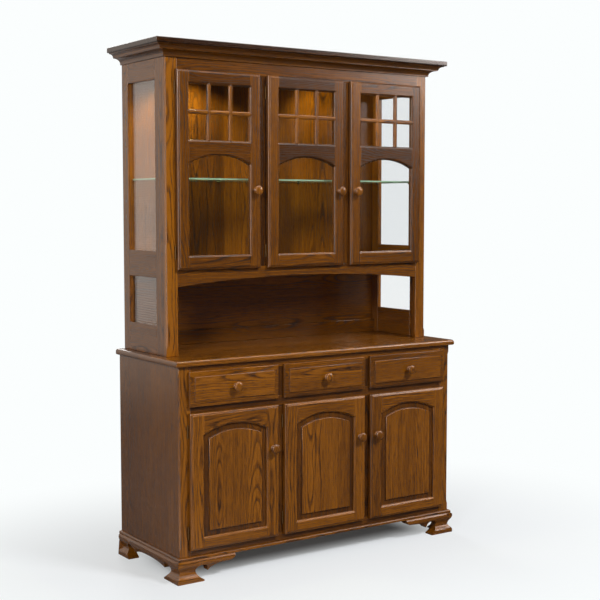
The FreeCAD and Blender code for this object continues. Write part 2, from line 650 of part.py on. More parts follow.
def make_base_doors():
    """Each buffet door: grooved stiles and rails, an arched raised panel and a knob."""
    plate_front = "base_door_rear - panel_back - panel_plate"
    groove_front = f"{plate_front} - panel_play"
    groove_wide = "panel_plate + 2 * panel_play"
    for bay, number in BAYS.items():
        middle = f"{number} * base_pitch"
        left = f"{middle} - base_door_width / 2"
        rail_left = f"{left} + base_door_stile"
        rail_span = "base_door_width - 2 * base_door_stile"
        face = "base_door_rear - door_thick"
        blank = door_blank(middle, "base_door_low", "base_door_width", "base_door_height", "base_door_rear")
        stiles = []
        for start, groove in ((left, f"{rail_left} - panel_tongue"),
                              (f"{left} + base_door_width - base_door_stile", f"{rail_left} + {rail_span}")):
            upright = board((start, face, "base_door_low"),
                            ("base_door_stile", "door_thick", "base_door_height"))
            slot = board((groove, groove_front, "panel_low - panel_tongue"),
                         ("panel_tongue", groove_wide, "panel_tall + panel_tongue"))
            stiles.append(cut(shared(upright, blank), slot))
        low_rail = board((rail_left, face, "base_door_low"),
                         (rail_span, "door_thick", "base_door_bottom_rail"))
        low_slot = board((rail_left, groove_front, "panel_low - panel_tongue"),
                         (rail_span, groove_wide, "panel_tongue"))
        high = "base_door_top_rail + base_arch_rise"
        high_rail = board((rail_left, face, f"base_door_high - ({high})"), (rail_span, "door_thick", high))
        arch = rod((middle, "base_door_rear", "base_arch_centre"),
                   "base_arch_radius", "door_thick", TOWARDS_FRONT)
        high_slot = rod((middle, f"{groove_front} + {groove_wide}", "base_arch_centre"),
                        "base_arch_radius + panel_tongue", groove_wide, TOWARDS_FRONT)
        rails = [cut(shared(low_rail, blank), low_slot), cut(cut(shared(high_rail, blank), arch), high_slot)]
        piece(f"{bay}_door_frame", *stiles, *rails)
        reach = "(panel_tongue - panel_play)"
        sheet = board((f"{rail_left} - {reach}", plate_front, f"panel_low - {reach}"),
                      (f"{rail_span} + 2 * {reach}", "panel_plate", f"panel_tall + 2 * {reach}"))
        sheet_arch = rod((middle, f"{plate_front} + panel_plate", "base_arch_centre"),
                         f"base_arch_radius + {reach}", "panel_plate", TOWARDS_FRONT)
        field = slope_block((middle, plate_front, "panel_low + panel_play"), f"{rail_span} - 2 * panel_play",
                            "panel_tall + panel_bevel", "panel_rise", "panel_bevel")
        field_arch = taper((middle, plate_front, "base_arch_centre"), "base_arch_radius - panel_play",
                           "base_arch_radius - panel_play - panel_bevel", "panel_rise", TOWARDS_FRONT)
        piece(f"{bay}_door_panel", joined(shared(sheet, sheet_arch), shared(field, field_arch)))
        knob_spot = f"{middle} - {HINGE_SIDES[bay]} * (base_door_width - base_door_stile) / 2"
        make_knob(f"{bay}_door_knob", knob_spot, face, "base_door_high - base_knob_drop")


def make_hutch_frame():
    """Face frame of the hutch: end stiles, uprights between the doors, a top rail and the arched rail."""
    stiles = [bevelled_stile(hand, "hutch_half", "hutch_stile", "hutch_front", "counter_high", "hutch_high")
              for hand in (-1, 1)]
    mullions = [board((f"{hand} * hutch_pitch / 2 - hutch_mullion / 2", "hutch_front", "hutch_opening_low"),
                      ("hutch_mullion", "frame_thick", "hutch_opening_height")) for hand in (-1, 1)]
    piece("hutch_stiles", *stiles, *mullions)
    span = "hutch_width - 2 * hutch_stile"
    left = "hutch_stile - hutch_half"
    top_rail = board((left, "hutch_front", "hutch_opening_high"), (span, "frame_thick", "hutch_top_rail"))
    low_rail = board((left, "hutch_front", "arch_low"), (span, "frame_thick", "arched_rail_height"))
    arch = rod(("0", "hutch_frame_rear", "niche_arch_centre"),
               "niche_arch_radius", "frame_thick", TOWARDS_FRONT)
    piece("hutch_rails", top_rail, cut(low_rail, arch))


def make_hutch_sides():
    """Each hutch side is a frame of two uprights and three rails round two windows, grooved for the glass."""
    depth = "window_rear - window_front"
    windows = (("low_window_low", "low_window_high"), ("high_window_low", "high_window_high"))
    uprights = (("hutch_frame_rear", "side_front_stile"), ("window_rear", "side_rear_stile"))
    rails = (("counter_high", "low_window_low"), ("low_window_high", "high_window_low"),
             ("high_window_high", "hutch_high"))
    slot_wide = "glass_thick + 2 * panel_play"
    slot_deep = f"{depth} + 2 * glass_tongue"
    tall = "hutch_high - counter_high"
    reach = "(glass_tongue - panel_play)"
    panes = []
    sides = []
    for outer, slot_start in (("-hutch_half", "-hutch_inner - glass_back - glass_thick - panel_play"),
                              ("hutch_inner", "hutch_inner + glass_back - panel_play")):
        members = []
        for start, width in uprights:
            members.append(board((outer, start, "counter_high"), ("side_thick", width, tall)))
        for low, high in rails:
            members.append(board((outer, "window_front", low), ("side_thick", depth, f"{high} - {low}")))
        for low, high in windows:
            slot = board((slot_start, "window_front - glass_tongue", f"{low} - glass_tongue"),
                         (slot_wide, slot_deep, f"{high} - {low} + 2 * glass_tongue"))
            members = [cut(member, slot) for member in members]
            panes.append(board((f"{slot_start} + panel_play", f"window_front - {reach}", f"{low} - {reach}"),
                               ("glass_thick", f"{depth} + 2 * {reach}", f"{high} - {low} + 2 * {reach}")))
        sides += members
    piece("hutch_sides", *sides)
    piece("hutch_side_glass", *panes)


def make_hutch_inside(pegs):
    """Deck, top, backs, the rail along the niche's foot, the glass shelf on its pegs and two round lamps."""
    left = "-hutch_inner"
    span = "2 * hutch_inner"
    inside = "hutch_depth_inside"
    piece("hutch_deck", board((left, "hutch_frame_rear", "deck_low"), (span, inside, "deck_thick")))
    piece("hutch_top", board((left, "hutch_frame_rear", "hutch_ceiling"), (span, inside, "hutch_top_thick")))
    piece("hutch_back", board((left, "back_front", "deck_low"),
                              (span, "back_thick", "hutch_high - deck_low")))
    piece("niche_back", board((left, "back_front", "counter_high"),
                              (span, "back_thick", "deck_low - counter_high")))
    piece("niche_low_rail", board((left, "back_front - low_rail_thick", "counter_high"),
                                  (span, "low_rail_thick", "low_rail_height")))
    front = "hutch_frame_rear + glass_shelf_inset"
    shelf_size = (f"{span} - 2 * shelf_play", f"back_front - shelf_play - ({front})", "glass_shelf_thick")
    piece("glass_shelf", board((f"{left} + shelf_play", front, "glass_shelf_low"), shelf_size))
    peg_high = "glass_shelf_low - peg_radius"
    for spot in (f"{front} + peg_inset", "back_front - shelf_play - peg_inset"):
        for start in ("-hutch_inner", "hutch_inner - peg_length"):
            pegs.append(rod((start, spot, peg_high), "peg_radius", "peg_length", TOWARDS_RIGHT))
    for hand in (-1, 1):
        pegs.append(rod((f"{hand} * hutch_pitch / 2", "back_front", peg_high),
                        "peg_radius", "peg_length", TOWARDS_FRONT))
    piece("shelf_pegs", *pegs)
    lamp_depth = "(hutch_frame_rear + back_front) / 2"
    lamps = []
    lenses = []
    for spot in ("-lamp_left", "lamp_right"):
        foot = (spot, lamp_depth, "hutch_ceiling - puck_height")
        seat = rod(foot, "lens_radius + panel_play", "lens_height")
        lamps.append(cut(rod(foot, "puck_radius", "puck_height"), seat))
        lenses.append(rod(foot, "lens_radius", "lens_height"))
    piece("lamp_housings", *lamps)
    piece("lamp_lenses", *lenses)


def make_crown():
    """Crown moulding in three mitred runs, and the cap board that lies on it."""
    tall, reach, flat = size("crown_height"), size("crown_reach"), size("crown_fillet")
    hollow_low = (flat, CROWN_SHARES["hollow_low"] * tall)
    hollow_mid = (CROWN_SHARES["hollow_mid"] * reach, CROWN_SHARES["hollow_mid_rise"] * tall)
    hollow_high = (CROWN_SHARES["hollow_reach"] * reach, CROWN_SHARES["hollow_high"] * tall)
    ledge = (hollow_high[0] + flat / 2, hollow_high[1])
    shoulder = (ledge[0], hollow_high[1] + flat / 2)
    slant_share = math.sqrt(0.5)
    round_mid = (shoulder[0] + (reach - shoulder[0]) * slant_share, tall - (tall - shoulder[1]) * slant_share)
    hollow = [(flat, 0), hollow_low, (hollow_mid, hollow_high), ledge]
    steps = hollow + [shoulder, (round_mid, (reach, tall)), (0, tall)]
    low = size("hutch_high") - tall
    runs = mitred_runs((0, 0), steps, size("hutch_half"), size("hutch_front"), low, tall, reach, 0)
    shaped_piece("crown_moulding", *runs)
    body = DOC.addObject("PartDesign::Body", "cap")
    slab = DOC.addObject("PartDesign::AdditiveBox", "cap_slab")
    body.addObject(slab)
    bind(slab, Length="hutch_width + 2 * cap_reach", Width="base_rear - hutch_front + cap_reach")
    bind(slab, Height="cap_thick")
    DOC.recompute()
    box = slab.Shape.BoundBox

    def level_and_seen(middle):
        return not math.isclose(middle.y, box.YMax) and not math.isclose(middle.z, box.ZMax / 2)

    names = edge_names(slab.Shape, level_and_seen)
    easing = body.newObject("PartDesign::Chamfer", "easing")
    easing.Base = (slab, names)
    bind(easing, Size="cap_ease")
    place(body, ("-hutch_half - cap_reach", "hutch_front - cap_reach", "hutch_high"))
    piece("crown_cap", body)


def make_hutch_doors():
    """Each glazed door: grooved frame, glazing bars over the upper pane, two panes and a knob."""
    pane_front = "hutch_door_rear - glass_back - glass_thick"
    groove_front = f"{pane_front} - panel_play"
    groove_wide = "glass_thick + 2 * panel_play"
    reach = "(glass_tongue - panel_play)"
    for bay, number in BAYS.items():
        middle = f"{number} * hutch_pitch"
        left = f"{middle} - hutch_door_width / 2"
        rail_left = f"{left} + glazed_stile"
        span = "hutch_door_width - 2 * glazed_stile"
        face = "hutch_door_rear - door_thick"
        blank = door_blank(middle, "hutch_door_low", "hutch_door_width", "hutch_door_height",
                           "hutch_door_rear")
        slot_left = f"{rail_left} - glass_tongue"
        slot_span = f"{span} + 2 * glass_tongue"
        high_slot = board((slot_left, groove_front, "lights_low - glass_tongue"),
                          (slot_span, groove_wide, "lights_tall + 2 * glass_tongue"))
        low_box = board((slot_left, groove_front, "pane_low - glass_tongue"),
                        (slot_span, groove_wide, "pane_tall + 2 * glass_tongue"))
        low_round = rod((middle, f"{groove_front} + {groove_wide}", "cross_arch_centre"),
                        "cross_arch_radius + glass_tongue", groove_wide, TOWARDS_FRONT)
        low_slot = shared(low_box, low_round)
        uprights = [board((x, face, "hutch_door_low"), ("glazed_stile", "door_thick", "hutch_door_height"))
                    for x in (left, f"{left} + hutch_door_width - glazed_stile")]
        top = board((rail_left, face, "lights_high"), (span, "door_thick", "glazed_top_rail"))
        cross = board((rail_left, face, "cross_arch_crown - cross_arch_rise"),
                      (span, "door_thick", "cross_rail + cross_arch_rise"))
        arch = rod((middle, "hutch_door_rear", "cross_arch_centre"),
                   "cross_arch_radius", "door_thick", TOWARDS_FRONT)
        bottom = board((rail_left, face, "hutch_door_low"), (span, "door_thick", "glazed_bottom_rail"))
        members = [cut(cut(shared(upright, blank), high_slot), low_slot) for upright in uprights]
        members.append(cut(shared(top, blank), high_slot))
        members.append(cut(cut(cut(cross, arch), high_slot), low_slot))
        members.append(cut(shared(bottom, blank), low_slot))
        light_width = f"({span} - 2 * bar_width) / 3"
        light_step = f"({light_width} + bar_width)"
        for across in (1, 2):
            start = f"{rail_left} + {across} * {light_step} - bar_width"
            members.append(board((start, face, "lights_low"), ("bar_width", "bar_thick", "lights_tall")))
        for across in (0, 1, 2):
            start = f"{rail_left} + {across} * {light_step}"
            middle_bar = (light_width, "bar_thick", "bar_width")
            members.append(board((start, face, "lights_low + light_height"), middle_bar))
        piece(f"{bay}_glazed_frame", *members)
        high_pane = board((f"{rail_left} - {reach}", pane_front, f"lights_low - {reach}"),
                          (f"{span} + 2 * {reach}", "glass_thick", f"lights_tall + 2 * {reach}"))
        low_pane = board((f"{rail_left} - {reach}", pane_front, f"pane_low - {reach}"),
                         (f"{span} + 2 * {reach}", "glass_thick", f"pane_tall + 2 * {reach}"))
        low_pane_arch = rod((middle, f"{pane_front} + glass_thick", "cross_arch_centre"),
                            f"cross_arch_radius + {reach}", "glass_thick", TOWARDS_FRONT)
        piece(f"{bay}_door_glass", high_pane, shared(low_pane, low_pane_arch))
        knob_spot = f"{middle} - {HINGE_SIDES[bay]} * (hutch_door_width - glazed_stile) / 2"
        make_knob(f"{bay}_glazed_knob", knob_spot, face, "hutch_door_low + hutch_knob_rise")


def hinge_leaves(hand):
    """One hinge round an upright axis at the origin: the leaf with the pin, and the leaf that turns on it.

    The door lies to the right of the axis where hand is 1, and to the left where it is -1.
    """
    barrel, pin, thick = size("barrel_radius"), size("hinge_pin"), size("leaf_thick")
    tall, middle, gap = size("hinge_height"), size("knuckle_height"), size("knuckle_play")
    frame_plane = size("hinge_front")
    door_plane = frame_plane - size("door_gap")
    start = barrel + 2 * gap
    bore = pin + size("pin_play")

    def plate(x_low, x_high, y_low, z_low, z_high):
        low = min(hand * x_low, hand * x_high)
        return Part.makeBox(x_high - x_low, thick, z_high - z_low, Vector(low, y_low, z_low))

    end = (tall - middle) / 2 - gap
    fixed = plate(start, start + size("frame_leaf_width"), frame_plane - thick, -tall / 2, tall / 2)
    fixed = fixed.fuse(Part.makeCylinder(pin, tall, Vector(0, 0, -tall / 2)))
    for low in (-tall / 2, tall / 2 - end):
        knuckle = Part.makeCylinder(barrel, end, Vector(0, 0, low))
        tongue = plate(0, start, frame_plane - thick, low, low + end)
        fixed = fixed.fuse([knuckle, tongue])
    moving = plate(start, start + size("door_leaf_width"), door_plane, -tall / 2, tall / 2)
    moving = moving.fuse([plate(0, start, door_plane, -middle / 2, middle / 2),
                          Part.makeCylinder(barrel, middle, Vector(0, 0, -middle / 2))])
    moving = moving.cut(Part.makeCylinder(bore, middle, Vector(0, 0, -middle / 2)))
    return fixed.removeSplitter(), moving.removeSplitter()


def make_hinges():
    """Two hinges on each door: the fixed leaves together, the turning leaves with their own doors."""
    fixed_leaves = []
    doors = (("door", "base", size("frame_front")), ("glazed", "hutch", size("hutch_front")))
    for word, part, plane in doors:
        for bay, number in BAYS.items():
            side = HINGE_SIDES[bay]
            aside = size(f"{part}_door_width") / 2 + size("hinge_side")
            edge = number * size(f"{part}_pitch") + side * aside
            low = size(f"{part}_door_low") + size("hinge_inset")
            high = size(f"{part}_door_high") - size("hinge_inset")
            turning = []
            for height in (low, high):
                spot = Vector(edge, plane - size("hinge_front"), height)
                fixed, moving = hinge_leaves(-side)
                fixed_leaves.append(fixed.translated(spot))
                turning.append(moving.translated(spot))
            shaped_piece(f"{bay}_{word}_hinges", *turning)
    shaped_piece("hinge_frame_leaves", *fixed_leaves)


def write_parts():
    """Checks every object and every piece, then writes one file for each piece."""
    DOC.recompute()
    for item in DOC.Objects:
        faults = [state for state in item.State if state in ("Invalid", "Error")]
        if faults:
            raise RuntimeError(f"{item.Name} ({item.Label}) is {faults}")
    for item in PIECES:
        if item.Shape.isNull() or not item.Shape.isValid() or not item.Shape.Solids:
            raise RuntimeError(f"{item.Label} has no sound shape")
    os.makedirs("parts", exist_ok=True)
    for item in PIECES:
        item.Shape.exportStep(f"parts/{item.Label}.step")
        print(f"{item.Label}: {len(item.Shape.Solids)} solids, {item.Shape.Volume / 1000:.1f} cm3")
    print(len(PIECES), "pieces")


fill_sheet()
shelf_pegs = make_carcass()
make_base_frame()
make_counter()
make_platform()
make_brackets()
make_drawers()
make_base_doors()
make_hutch_frame()
make_hutch_sides()
make_hutch_inside(shelf_pegs)
make_crown()
make_hutch_doors()
make_hinges()
write_parts()
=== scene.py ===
import math

import bpy
import numpy as np
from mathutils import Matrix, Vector, geometry


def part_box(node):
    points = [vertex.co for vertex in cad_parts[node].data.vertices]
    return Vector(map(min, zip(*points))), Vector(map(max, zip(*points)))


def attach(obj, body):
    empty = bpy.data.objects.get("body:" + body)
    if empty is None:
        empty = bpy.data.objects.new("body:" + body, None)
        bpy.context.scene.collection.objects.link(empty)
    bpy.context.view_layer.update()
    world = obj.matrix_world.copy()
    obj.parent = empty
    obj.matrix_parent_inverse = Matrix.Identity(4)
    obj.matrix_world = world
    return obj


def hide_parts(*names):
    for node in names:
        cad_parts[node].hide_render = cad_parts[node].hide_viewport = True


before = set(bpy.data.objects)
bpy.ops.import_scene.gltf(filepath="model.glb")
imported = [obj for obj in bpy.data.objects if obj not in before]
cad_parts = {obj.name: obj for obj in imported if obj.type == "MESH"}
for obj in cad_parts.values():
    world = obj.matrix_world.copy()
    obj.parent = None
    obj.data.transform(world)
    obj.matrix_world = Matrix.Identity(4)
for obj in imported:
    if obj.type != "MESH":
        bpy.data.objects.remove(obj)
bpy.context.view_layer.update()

bl_info = {
    "name": "Buffet and Hutch",
    "version": (1, 0, 0),
    "blender": (4, 5, 0),
    "location": "3D View > Sidebar > Buffet",
    "description": "Stained oak buffet with a glazed, lit hutch, built around its packed solids",
    "category": "Object",
}

ROOT = "carcass"
BAYS = ("left", "middle", "right")
FINISHES = {}
MM = 0.001
# Points of a CAD mesh closer than this are one point; points of an eased board are merged more finely.
WELD, FINE_WELD = 1e-6, 1e-8
# Places along a door member are rounded to this many decimals and may pass its ends by this much.
MARK_DIGITS, END_ROOM = 6, 1e-7
# Faces that meet at more than this angle keep a sharp edge between them.
SHARP_ANGLE = math.radians(38)

# Grain frames: the directions along, across and through a board.
X_AXIS, Y_AXIS, Z_AXIS = np.eye(3)
GRAIN_X = np.array((X_AXIS, Z_AXIS, -Y_AXIS))
GRAIN_Z = np.array((Z_AXIS, X_AXIS, -Y_AXIS))
COUNTER_GRAIN = np.array((X_AXIS, Y_AXIS, Z_AXIS))
SIDE_BOARD_GRAIN = np.array((Z_AXIS, Y_AXIS, X_AXIS))
SIDE_RAIL_GRAIN = np.array((Y_AXIS, Z_AXIS, X_AXIS))
KNOB_GRAIN = np.array((Z_AXIS, X_AXIS, Y_AXIS))
# Each board comes from its own place in the log, up to this far along it, in metres.
LOG_REACH = 9.0
# A piece's chances start from the letters of its name, each times its place plus this.
SEED_SHIFT = 3

# How much darker than the rest a board is made. Most of it is painted shade: on the sides, the hutch back,
# the counter, the crown, the niche arch and the hutch door stiles, which get less light; on the rails and
# uprights between drawers and doors, which lie in the shadow of the fronts; and darkest on the hutch deck and
# the cap. The hutch door rails are partly a darker stain and partly painted shade.
CASE_PAINTED_SHADE, STILE_PAINTED_SHADE, BASE_RAIL_PAINTED_SHADE, RAIL_STAIN_AND_PAINTED_SHADE, UPRIGHT_PAINTED_SHADE, CAP_PAINTED_SHADE = 0.09, 0.18, 0.24, 0.42, 0.48, 0.80
# Painted shade for each base door, lighter on the left and darker to the right, where less light falls.
DOOR_PAINTED_SHADES = {"left": -0.07, "middle": 0.0, "right": 0.10}
# A raised front gets painted shade in the recess round its field: how much, and from what depth behind the
# field.
PANEL_RECESS_PAINTED_SHADE, DRAWER_RECESS_PAINTED_SHADE, RECESS_DEPTH = 0.34, 0.16, 0.8 * MM

# Panel doors: widths of the stiles and rails.
PANEL_STILE, PANEL_TOP_RAIL, PANEL_FOOT_RAIL = 60 * MM, 53 * MM, 50 * MM
# Glazed doors: widths of the stiles and rails, height of a small light, width and thickness of a bar.
GLAZED_STILE, GLAZED_TOP_RAIL, GLAZED_CROSS_RAIL, GLAZED_FOOT_RAIL = 52 * MM, 54 * MM, 58 * MM, 57 * MM
LIGHT_TALL, BAR_WIDE, BAR_THICK = 100 * MM, 17.5 * MM, 10 * MM
LIGHT_COLUMNS = 3
# Rise of the arches over the doors and over the niche, and how many places divide a curved edge.
DOOR_RISE, NICHE_RISE = 36 * MM, 31 * MM
DOOR_BEND, NICHE_BEND, OUTLINE_BEND = 28, 40, 30
# Rounding of edges: the side frames and the cap board, the drawer boxes, the rear rail and the rear feet.
SIDE_EASE, CAP_EASE, BOX_EASE, REAR_RAIL_EASE, REAR_FOOT_EASE = 1.8 * MM, 2.5 * MM, 1 * MM, 1 * MM, 1.2 * MM
# An edge is rounded by less than this share of half a board, in places that are shares of the rounding.
EASE_LIMIT_SHARE = 0.45
EASE_STEP_SHARES = (0.0, 0.5, 1.0, 1.7)
# End stiles: depth of the bevel, how far it stops from both ends and over what length it fades, eased edge.
STILE_BEVEL, BEVEL_STOP, BEVEL_FADE, STILE_EASE = 5 * MM, 30 * MM, 12 * MM, 1.2 * MM
# The flat of a stile starts at this many times the bevel, and this far from the inner edge.
BEVEL_SHOULDER_SHARE, STILE_SHOULDER = 1.25, 3.6 * MM
# Side frames of the hutch: thickness, and depth of the grooves that hold the panes.
SIDE_THICK, GROOVE_DEEP = 20 * MM, 5.5 * MM
# Platform and feet: width of the rear rail, thickness inside the front, length of a front bracket, rear feet.
REAR_RAIL_WIDE, BRACKET_INSIDE, BRACKET_LONG = 60 * MM, 30 * MM, 245 * MM
REAR_FOOT_LONG, REAR_FOOT_THICK = 80 * MM, 20 * MM
# A bracket's face is divided at this many levels and columns, from a start to a little short of its end.
BRACKET_LEVELS, BRACKET_COLUMNS, COLUMN_START, COLUMN_END = 22, 14, 20 * MM, 4 * MM
# The kind of division that keeps the triangles inside an outline.
INSIDE_ONLY = 2
KNOB_SIDES = 44


def quarter(start, end, count=6):
    """Points of a quarter ellipse that leaves along the second axis and arrives along the first."""
    turn = np.linspace(0, math.pi / 2, count)
    start, end = np.array(start, dtype=float), np.array(end, dtype=float)
    return (start + (end - start) * np.stack((1 - np.cos(turn), np.sin(turn)), axis=1)).tolist()


# Mouldings as points (distance in from the edge, depth behind the face), in millimetres.
DOOR_EDGE = (*quarter((0, 9.4), (8.0, 2.7)), *quarter((8.2, 2.5), (10.2, 0), 4), (11.5, 0))
STICKING = (*quarter((0, 7.2), (5.6, 2.0), 5), *quarter((5.8, 1.8), (7.2, 0), 4), (8.0, 0))
BAR_EDGE = (*quarter((0, 5.4), (3.3, 1.6), 5), *quarter((3.5, 1.4), (4.6, 0), 4), (5.2, 0))
BUTT_END = ((0, 0.55), (0.5, 0), (1.5, 0))
NICHE_EDGE = ((0, 1.6), (0.5, 0.5), (1.6, 0), (3.0, 0))
DRAWER_FIELD = (*quarter((0, 10.0), (3.0, 7.4), 5), (20.4, 4.0), *quarter((20.8, 3.6), (23.2, 0), 5),
                (25.5, 0))
PANEL_FIELD = ((-7.7, 9.2), (0.3, 9.2), (1.0, 10.9), (21.6, 9.0), *quarter((22.0, 8.6), (24.8, 2.0), 5),
               (27.0, 2.0))
# Counter edge: (distance in from the edge, height over the underside), in millimetres.
COUNTER_EDGE = ((9.0, 0), *quarter((0, 5.6), (7.0, 0))[::-1], *quarter((0, 12.6), (11, 24), 7), (15, 24))
# Crown and platform sections: (out from the case, height over the moulding's foot), in millimetres.
CROWN_SECTION = ((0, 0), (5.6, 0), (6.6, 1.0), *quarter((6.6, 5.4), (35.0, 25.0), 9), (36.8, 25.2),
                 (36.8, 27.4), *quarter((38.2, 27.8), (53.4, 41.4), 7), (55.2, 42.0), (56.0, 43.2),
                 (56.0, 45.0), (0, 45.0))
PLATFORM_SECTION = ((-60, 0), (9.8, 0), (11, 1.2), *quarter((11, 5.6), (4.6, 12), 6), (-60, 12))
# Ogee face of a bracket: heights of its foot, hollow and shoulder, swell in the hollow and at the top.
FOOT_SHARE, HOLLOW_SHARE, SHOULDER_SHARE = 0.14, 0.42, 0.86
HOLLOW_SWELL_SHARE, TOP_SWELL_SHARE = 0.06, 0.55
# Scroll-cut lower edge of a bracket: arcs of three points, as shares of its length and its height.
NOTCH_ARC_SHARES = ((0.41, 0.07), (0.32, 0.24), (0.275, 0.52))
CROWN_ARC_SHARES = ((0.275, 0.52), (0.385, 0.74), (0.485, 0.60))
SPUR_SHARES = (0.505, 0.41)
WING_ARC_SHARES = ((0.505, 0.41), (0.60, 0.60), (0.72, 0.70))
TIP_ARC_SHARES = ((0.93, 0.74), (0.97, 0.82), (1.0, 1.0))
# Side apron: its height half-way to the middle and in the middle, as shares of a bracket's height.
APRON_SHARES = (0.58, 0.62)
# Points along each of the arcs.
NOTCH_POINTS, CROWN_POINTS, WING_POINTS, TIP_POINTS, APRON_POINTS = 9, 13, 9, 7, 10
# Turned knob, in millimetres: (radius, out from the wood) of its domed head, (out, radius) of the rest.
KNOB_HEAD = (*quarter((8.4, 12.6), (15.6, 17.2)), *quarter((19.5, 21.6), (15.9, 17.5), 5)[::-1],
             *quarter((19.5, 22.0), (0, 30.0), 9))
KNOB_NECK = (*quarter((3.0, 11.6), (10.0, 8.2)), (12.0, 8.2))
KNOB_FOOT = ((0, 0), (0, 12.2), (0.8, 12.8), (2.0, 12.6))
KNOB_SECTION = (*KNOB_FOOT, *KNOB_NECK, *[(out, radius) for radius, out in KNOB_HEAD])

# Oak figure: how strongly each part darkens the wood; the first three follow the contrast.
RING_SHARE, PORE_SHARE, STREAK_SHARE = 0.44, 0.72, 0.95
BROAD_SHARE, PLANK_SHARE, BOARD_SHARE, BASE_SHADE = 0.42, 0.34, 0.16, 0.08
# Noise of each part: stretch of its three coordinates, scale, detail and roughness.
WAVE_NOISE = ((1.0, 2.4, 2.4), 2.6, 3.0, 0.55)
LEAN_NOISE = ((1.0, 7.0, 5.0), 1.7, 1.0, 0.55)
WIDTH_NOISE = ((0.25, 40.0, 9.0), 1.0, 1.0, 0.55)
PORE_NOISE = ((22.0, 240.0, 240.0), 1.0, 3.0, 0.65)
STREAK_NOISE = ((3.4, 120.0, 120.0), 1.0, 4.0, 0.72)
BROAD_NOISE = ((0.9, 7.0, 7.0), 1.0, 2.0, 0.55)
# Numbers that give each plank of each board its own chance, and its own shift along the grain.
BOARD_KEY, PLANK_KEY, KEY_LEVEL, PLANK_SHIFT = 91.7, 3.17, 0.5, 31.0
# Pith behind a plank: how far aside, least depth, spread of the depth, lean, and how far waves move it.
PITH_ASIDE_SHARE = 1.15
PITH_DEPTH, PITH_SPREAD, PITH_LEAN, WAVE_ASIDE, WAVE_BEHIND = 12 * MM, 52 * MM, 75 * MM, 14 * MM, 12 * MM
# How many rings the width noise moves the rings by.
RING_WANDER = 2.6
# Dark early wood at the start of each ring: (share of the ring, level).
RING_LEVELS = ((0.0, 0.70), (0.08, 1.0), (0.20, 0.62), (0.38, 0.14), (0.88, 0.05), (1.0, 0.30))
# Noise levels between which pores grow, and how many of them are in all the wood and only in early wood.
PORE_SPAN, PORE_ANYWHERE, PORE_EARLY = (0.48, 0.66), 0.25, 0.75
# Shades at which the light, middle and dark wood colours stand.
COLOUR_SHADES = (0.0, 0.42, 0.95)
DRAWER_COLOURS = ((0.62, 0.42, 0.22), (0.50, 0.32, 0.15), (0.30, 0.17, 0.07))
# Varnish: roughness under and over the shine given, and relief of the pores and rings.
SHINE_UNDER, SHINE_OVER = 0.04, 0.12
RELIEF, RELIEF_STRENGTH, PORE_RELIEF, RING_RELIEF = 0.5 * MM, 0.2, -0.9, -0.25
# Glass: share of light mirrored straight on, how steeply it grows at a slant, and the most roughness.
STRAIGHT_SHARE, SLANT_POWER, GLASS_ROUGH = 0.04, 5.0, 0.02
# Ripples of drawn glass: spacing, and how many of them a cloud shifts them by.
RIPPLE_PITCH, RIPPLE_SHIFT = 9.4 * MM, 2.0
# Edge of a glass shelf: painted glow, roughness, and below what upward part of its direction a face is an
# edge.
EDGE_PAINTED_GLOW, EDGE_ROUGH, EDGE_LIMIT = 0.12, 0.12, 0.5
# Scale and detail of the cloud in glass, the tarnish on metal and the frost on a lens.
CLOUD_NOISE, TARNISH_NOISE, FROST_NOISE = (5.0, 2.0), (160.0, 4.0), (420.0, 2.0)
# Tarnish adds up to this much roughness; a lens glows with at least this share of its strength.
TARNISH_ROUGH, FROST_SHARE = 0.25, 0.8
LENS_COLOUR, WHITE = (0.9, 0.85, 0.75, 1), (1, 1, 1, 1)

# Camera fitted to the photo.
CAMERA_PLACE = (-2.8681, -4.2651, 1.4562)
CAMERA_YAW, CAMERA_PITCH = math.radians(34.26), math.radians(-4.40)
SENSOR_WIDE, LENS, CLIP_END = 36.0, 72.24, 100.0
# Studio lights: place, target, width and height, share of the power, colour, kind of ray that misses it.
STUDIO_LIGHTS = {
    "top_light": ((1.8, -4.8, 5.4), (0.0, -0.2, 0.8), (1.5, 1.1), 1.8, (1.0, 0.99, 0.98), "glossy"),
    "ceiling_card": ((1.2, -2.2, 6.6), (0.6, -0.9, 0.8), (8.0, 4.5), 1.9, (1.0, 0.94, 0.90), "diffuse"),
    "left_light": ((-4.0, -3.3, 3.0), (0.0, -0.1, 0.9), (1.2, 1.2), 0.57, (1.0, 0.98, 0.96), None),
    "left_strip": ((-3.9, -2.9, 1.6), (0.0, -0.1, 1.3), (0.9, 3.0), 0.42, (1.0, 0.88, 0.80), "diffuse"),
    "right_card": ((4.2, -3.4, 3.3), (0.5, -0.1, 1.7), (1.8, 1.8), 0.55, (1.0, 0.92, 0.87), "diffuse"),
    "right_light": ((2.5, -2.0, 3.0), (0.6, -0.1, 1.8), (0.8, 0.8), 0.06, (1.0, 0.97, 0.98), None),
    "back_light": ((1.2, 4.8, 3.4), (0.0, 0.2, 1.0), (1.6, 1.6), 0.4, (1.0, 0.99, 0.98), None),
}
# Light of each round lamp, from the left: direction, share of the lamp power, cone in degrees, soft rim.
CABINET_LIGHTS = (((0.06, 0.16, -1.0), 0.98, 128, 0.55), ((0.60, 0.16, -1.0), 0.52, 142, 0.9))
CABINET_COLOUR = (1.0, 0.95, 0.40)
LAMP_DROP, LAMP_SOFT_SHARE = 2 * MM, 1 / 3
# What the camera sees behind the piece, and what mirrors see, which is warmer.
STUDIO_WHITE, MIRROR_WHITE = (0.965, 0.991, 0.991, 1), (1.0, 0.89, 0.80, 1)
# Light from all round, and what mirrors see: weights of the way (x, y, z), where it grows, dim and bright.
ROUND_LIGHT = 0.045
WALL_WAY, WALL_SPAN, WALL_LEVELS = (-0.9, 0.25, 1.2), (-0.35, 0.9), (0.02, 1.25)
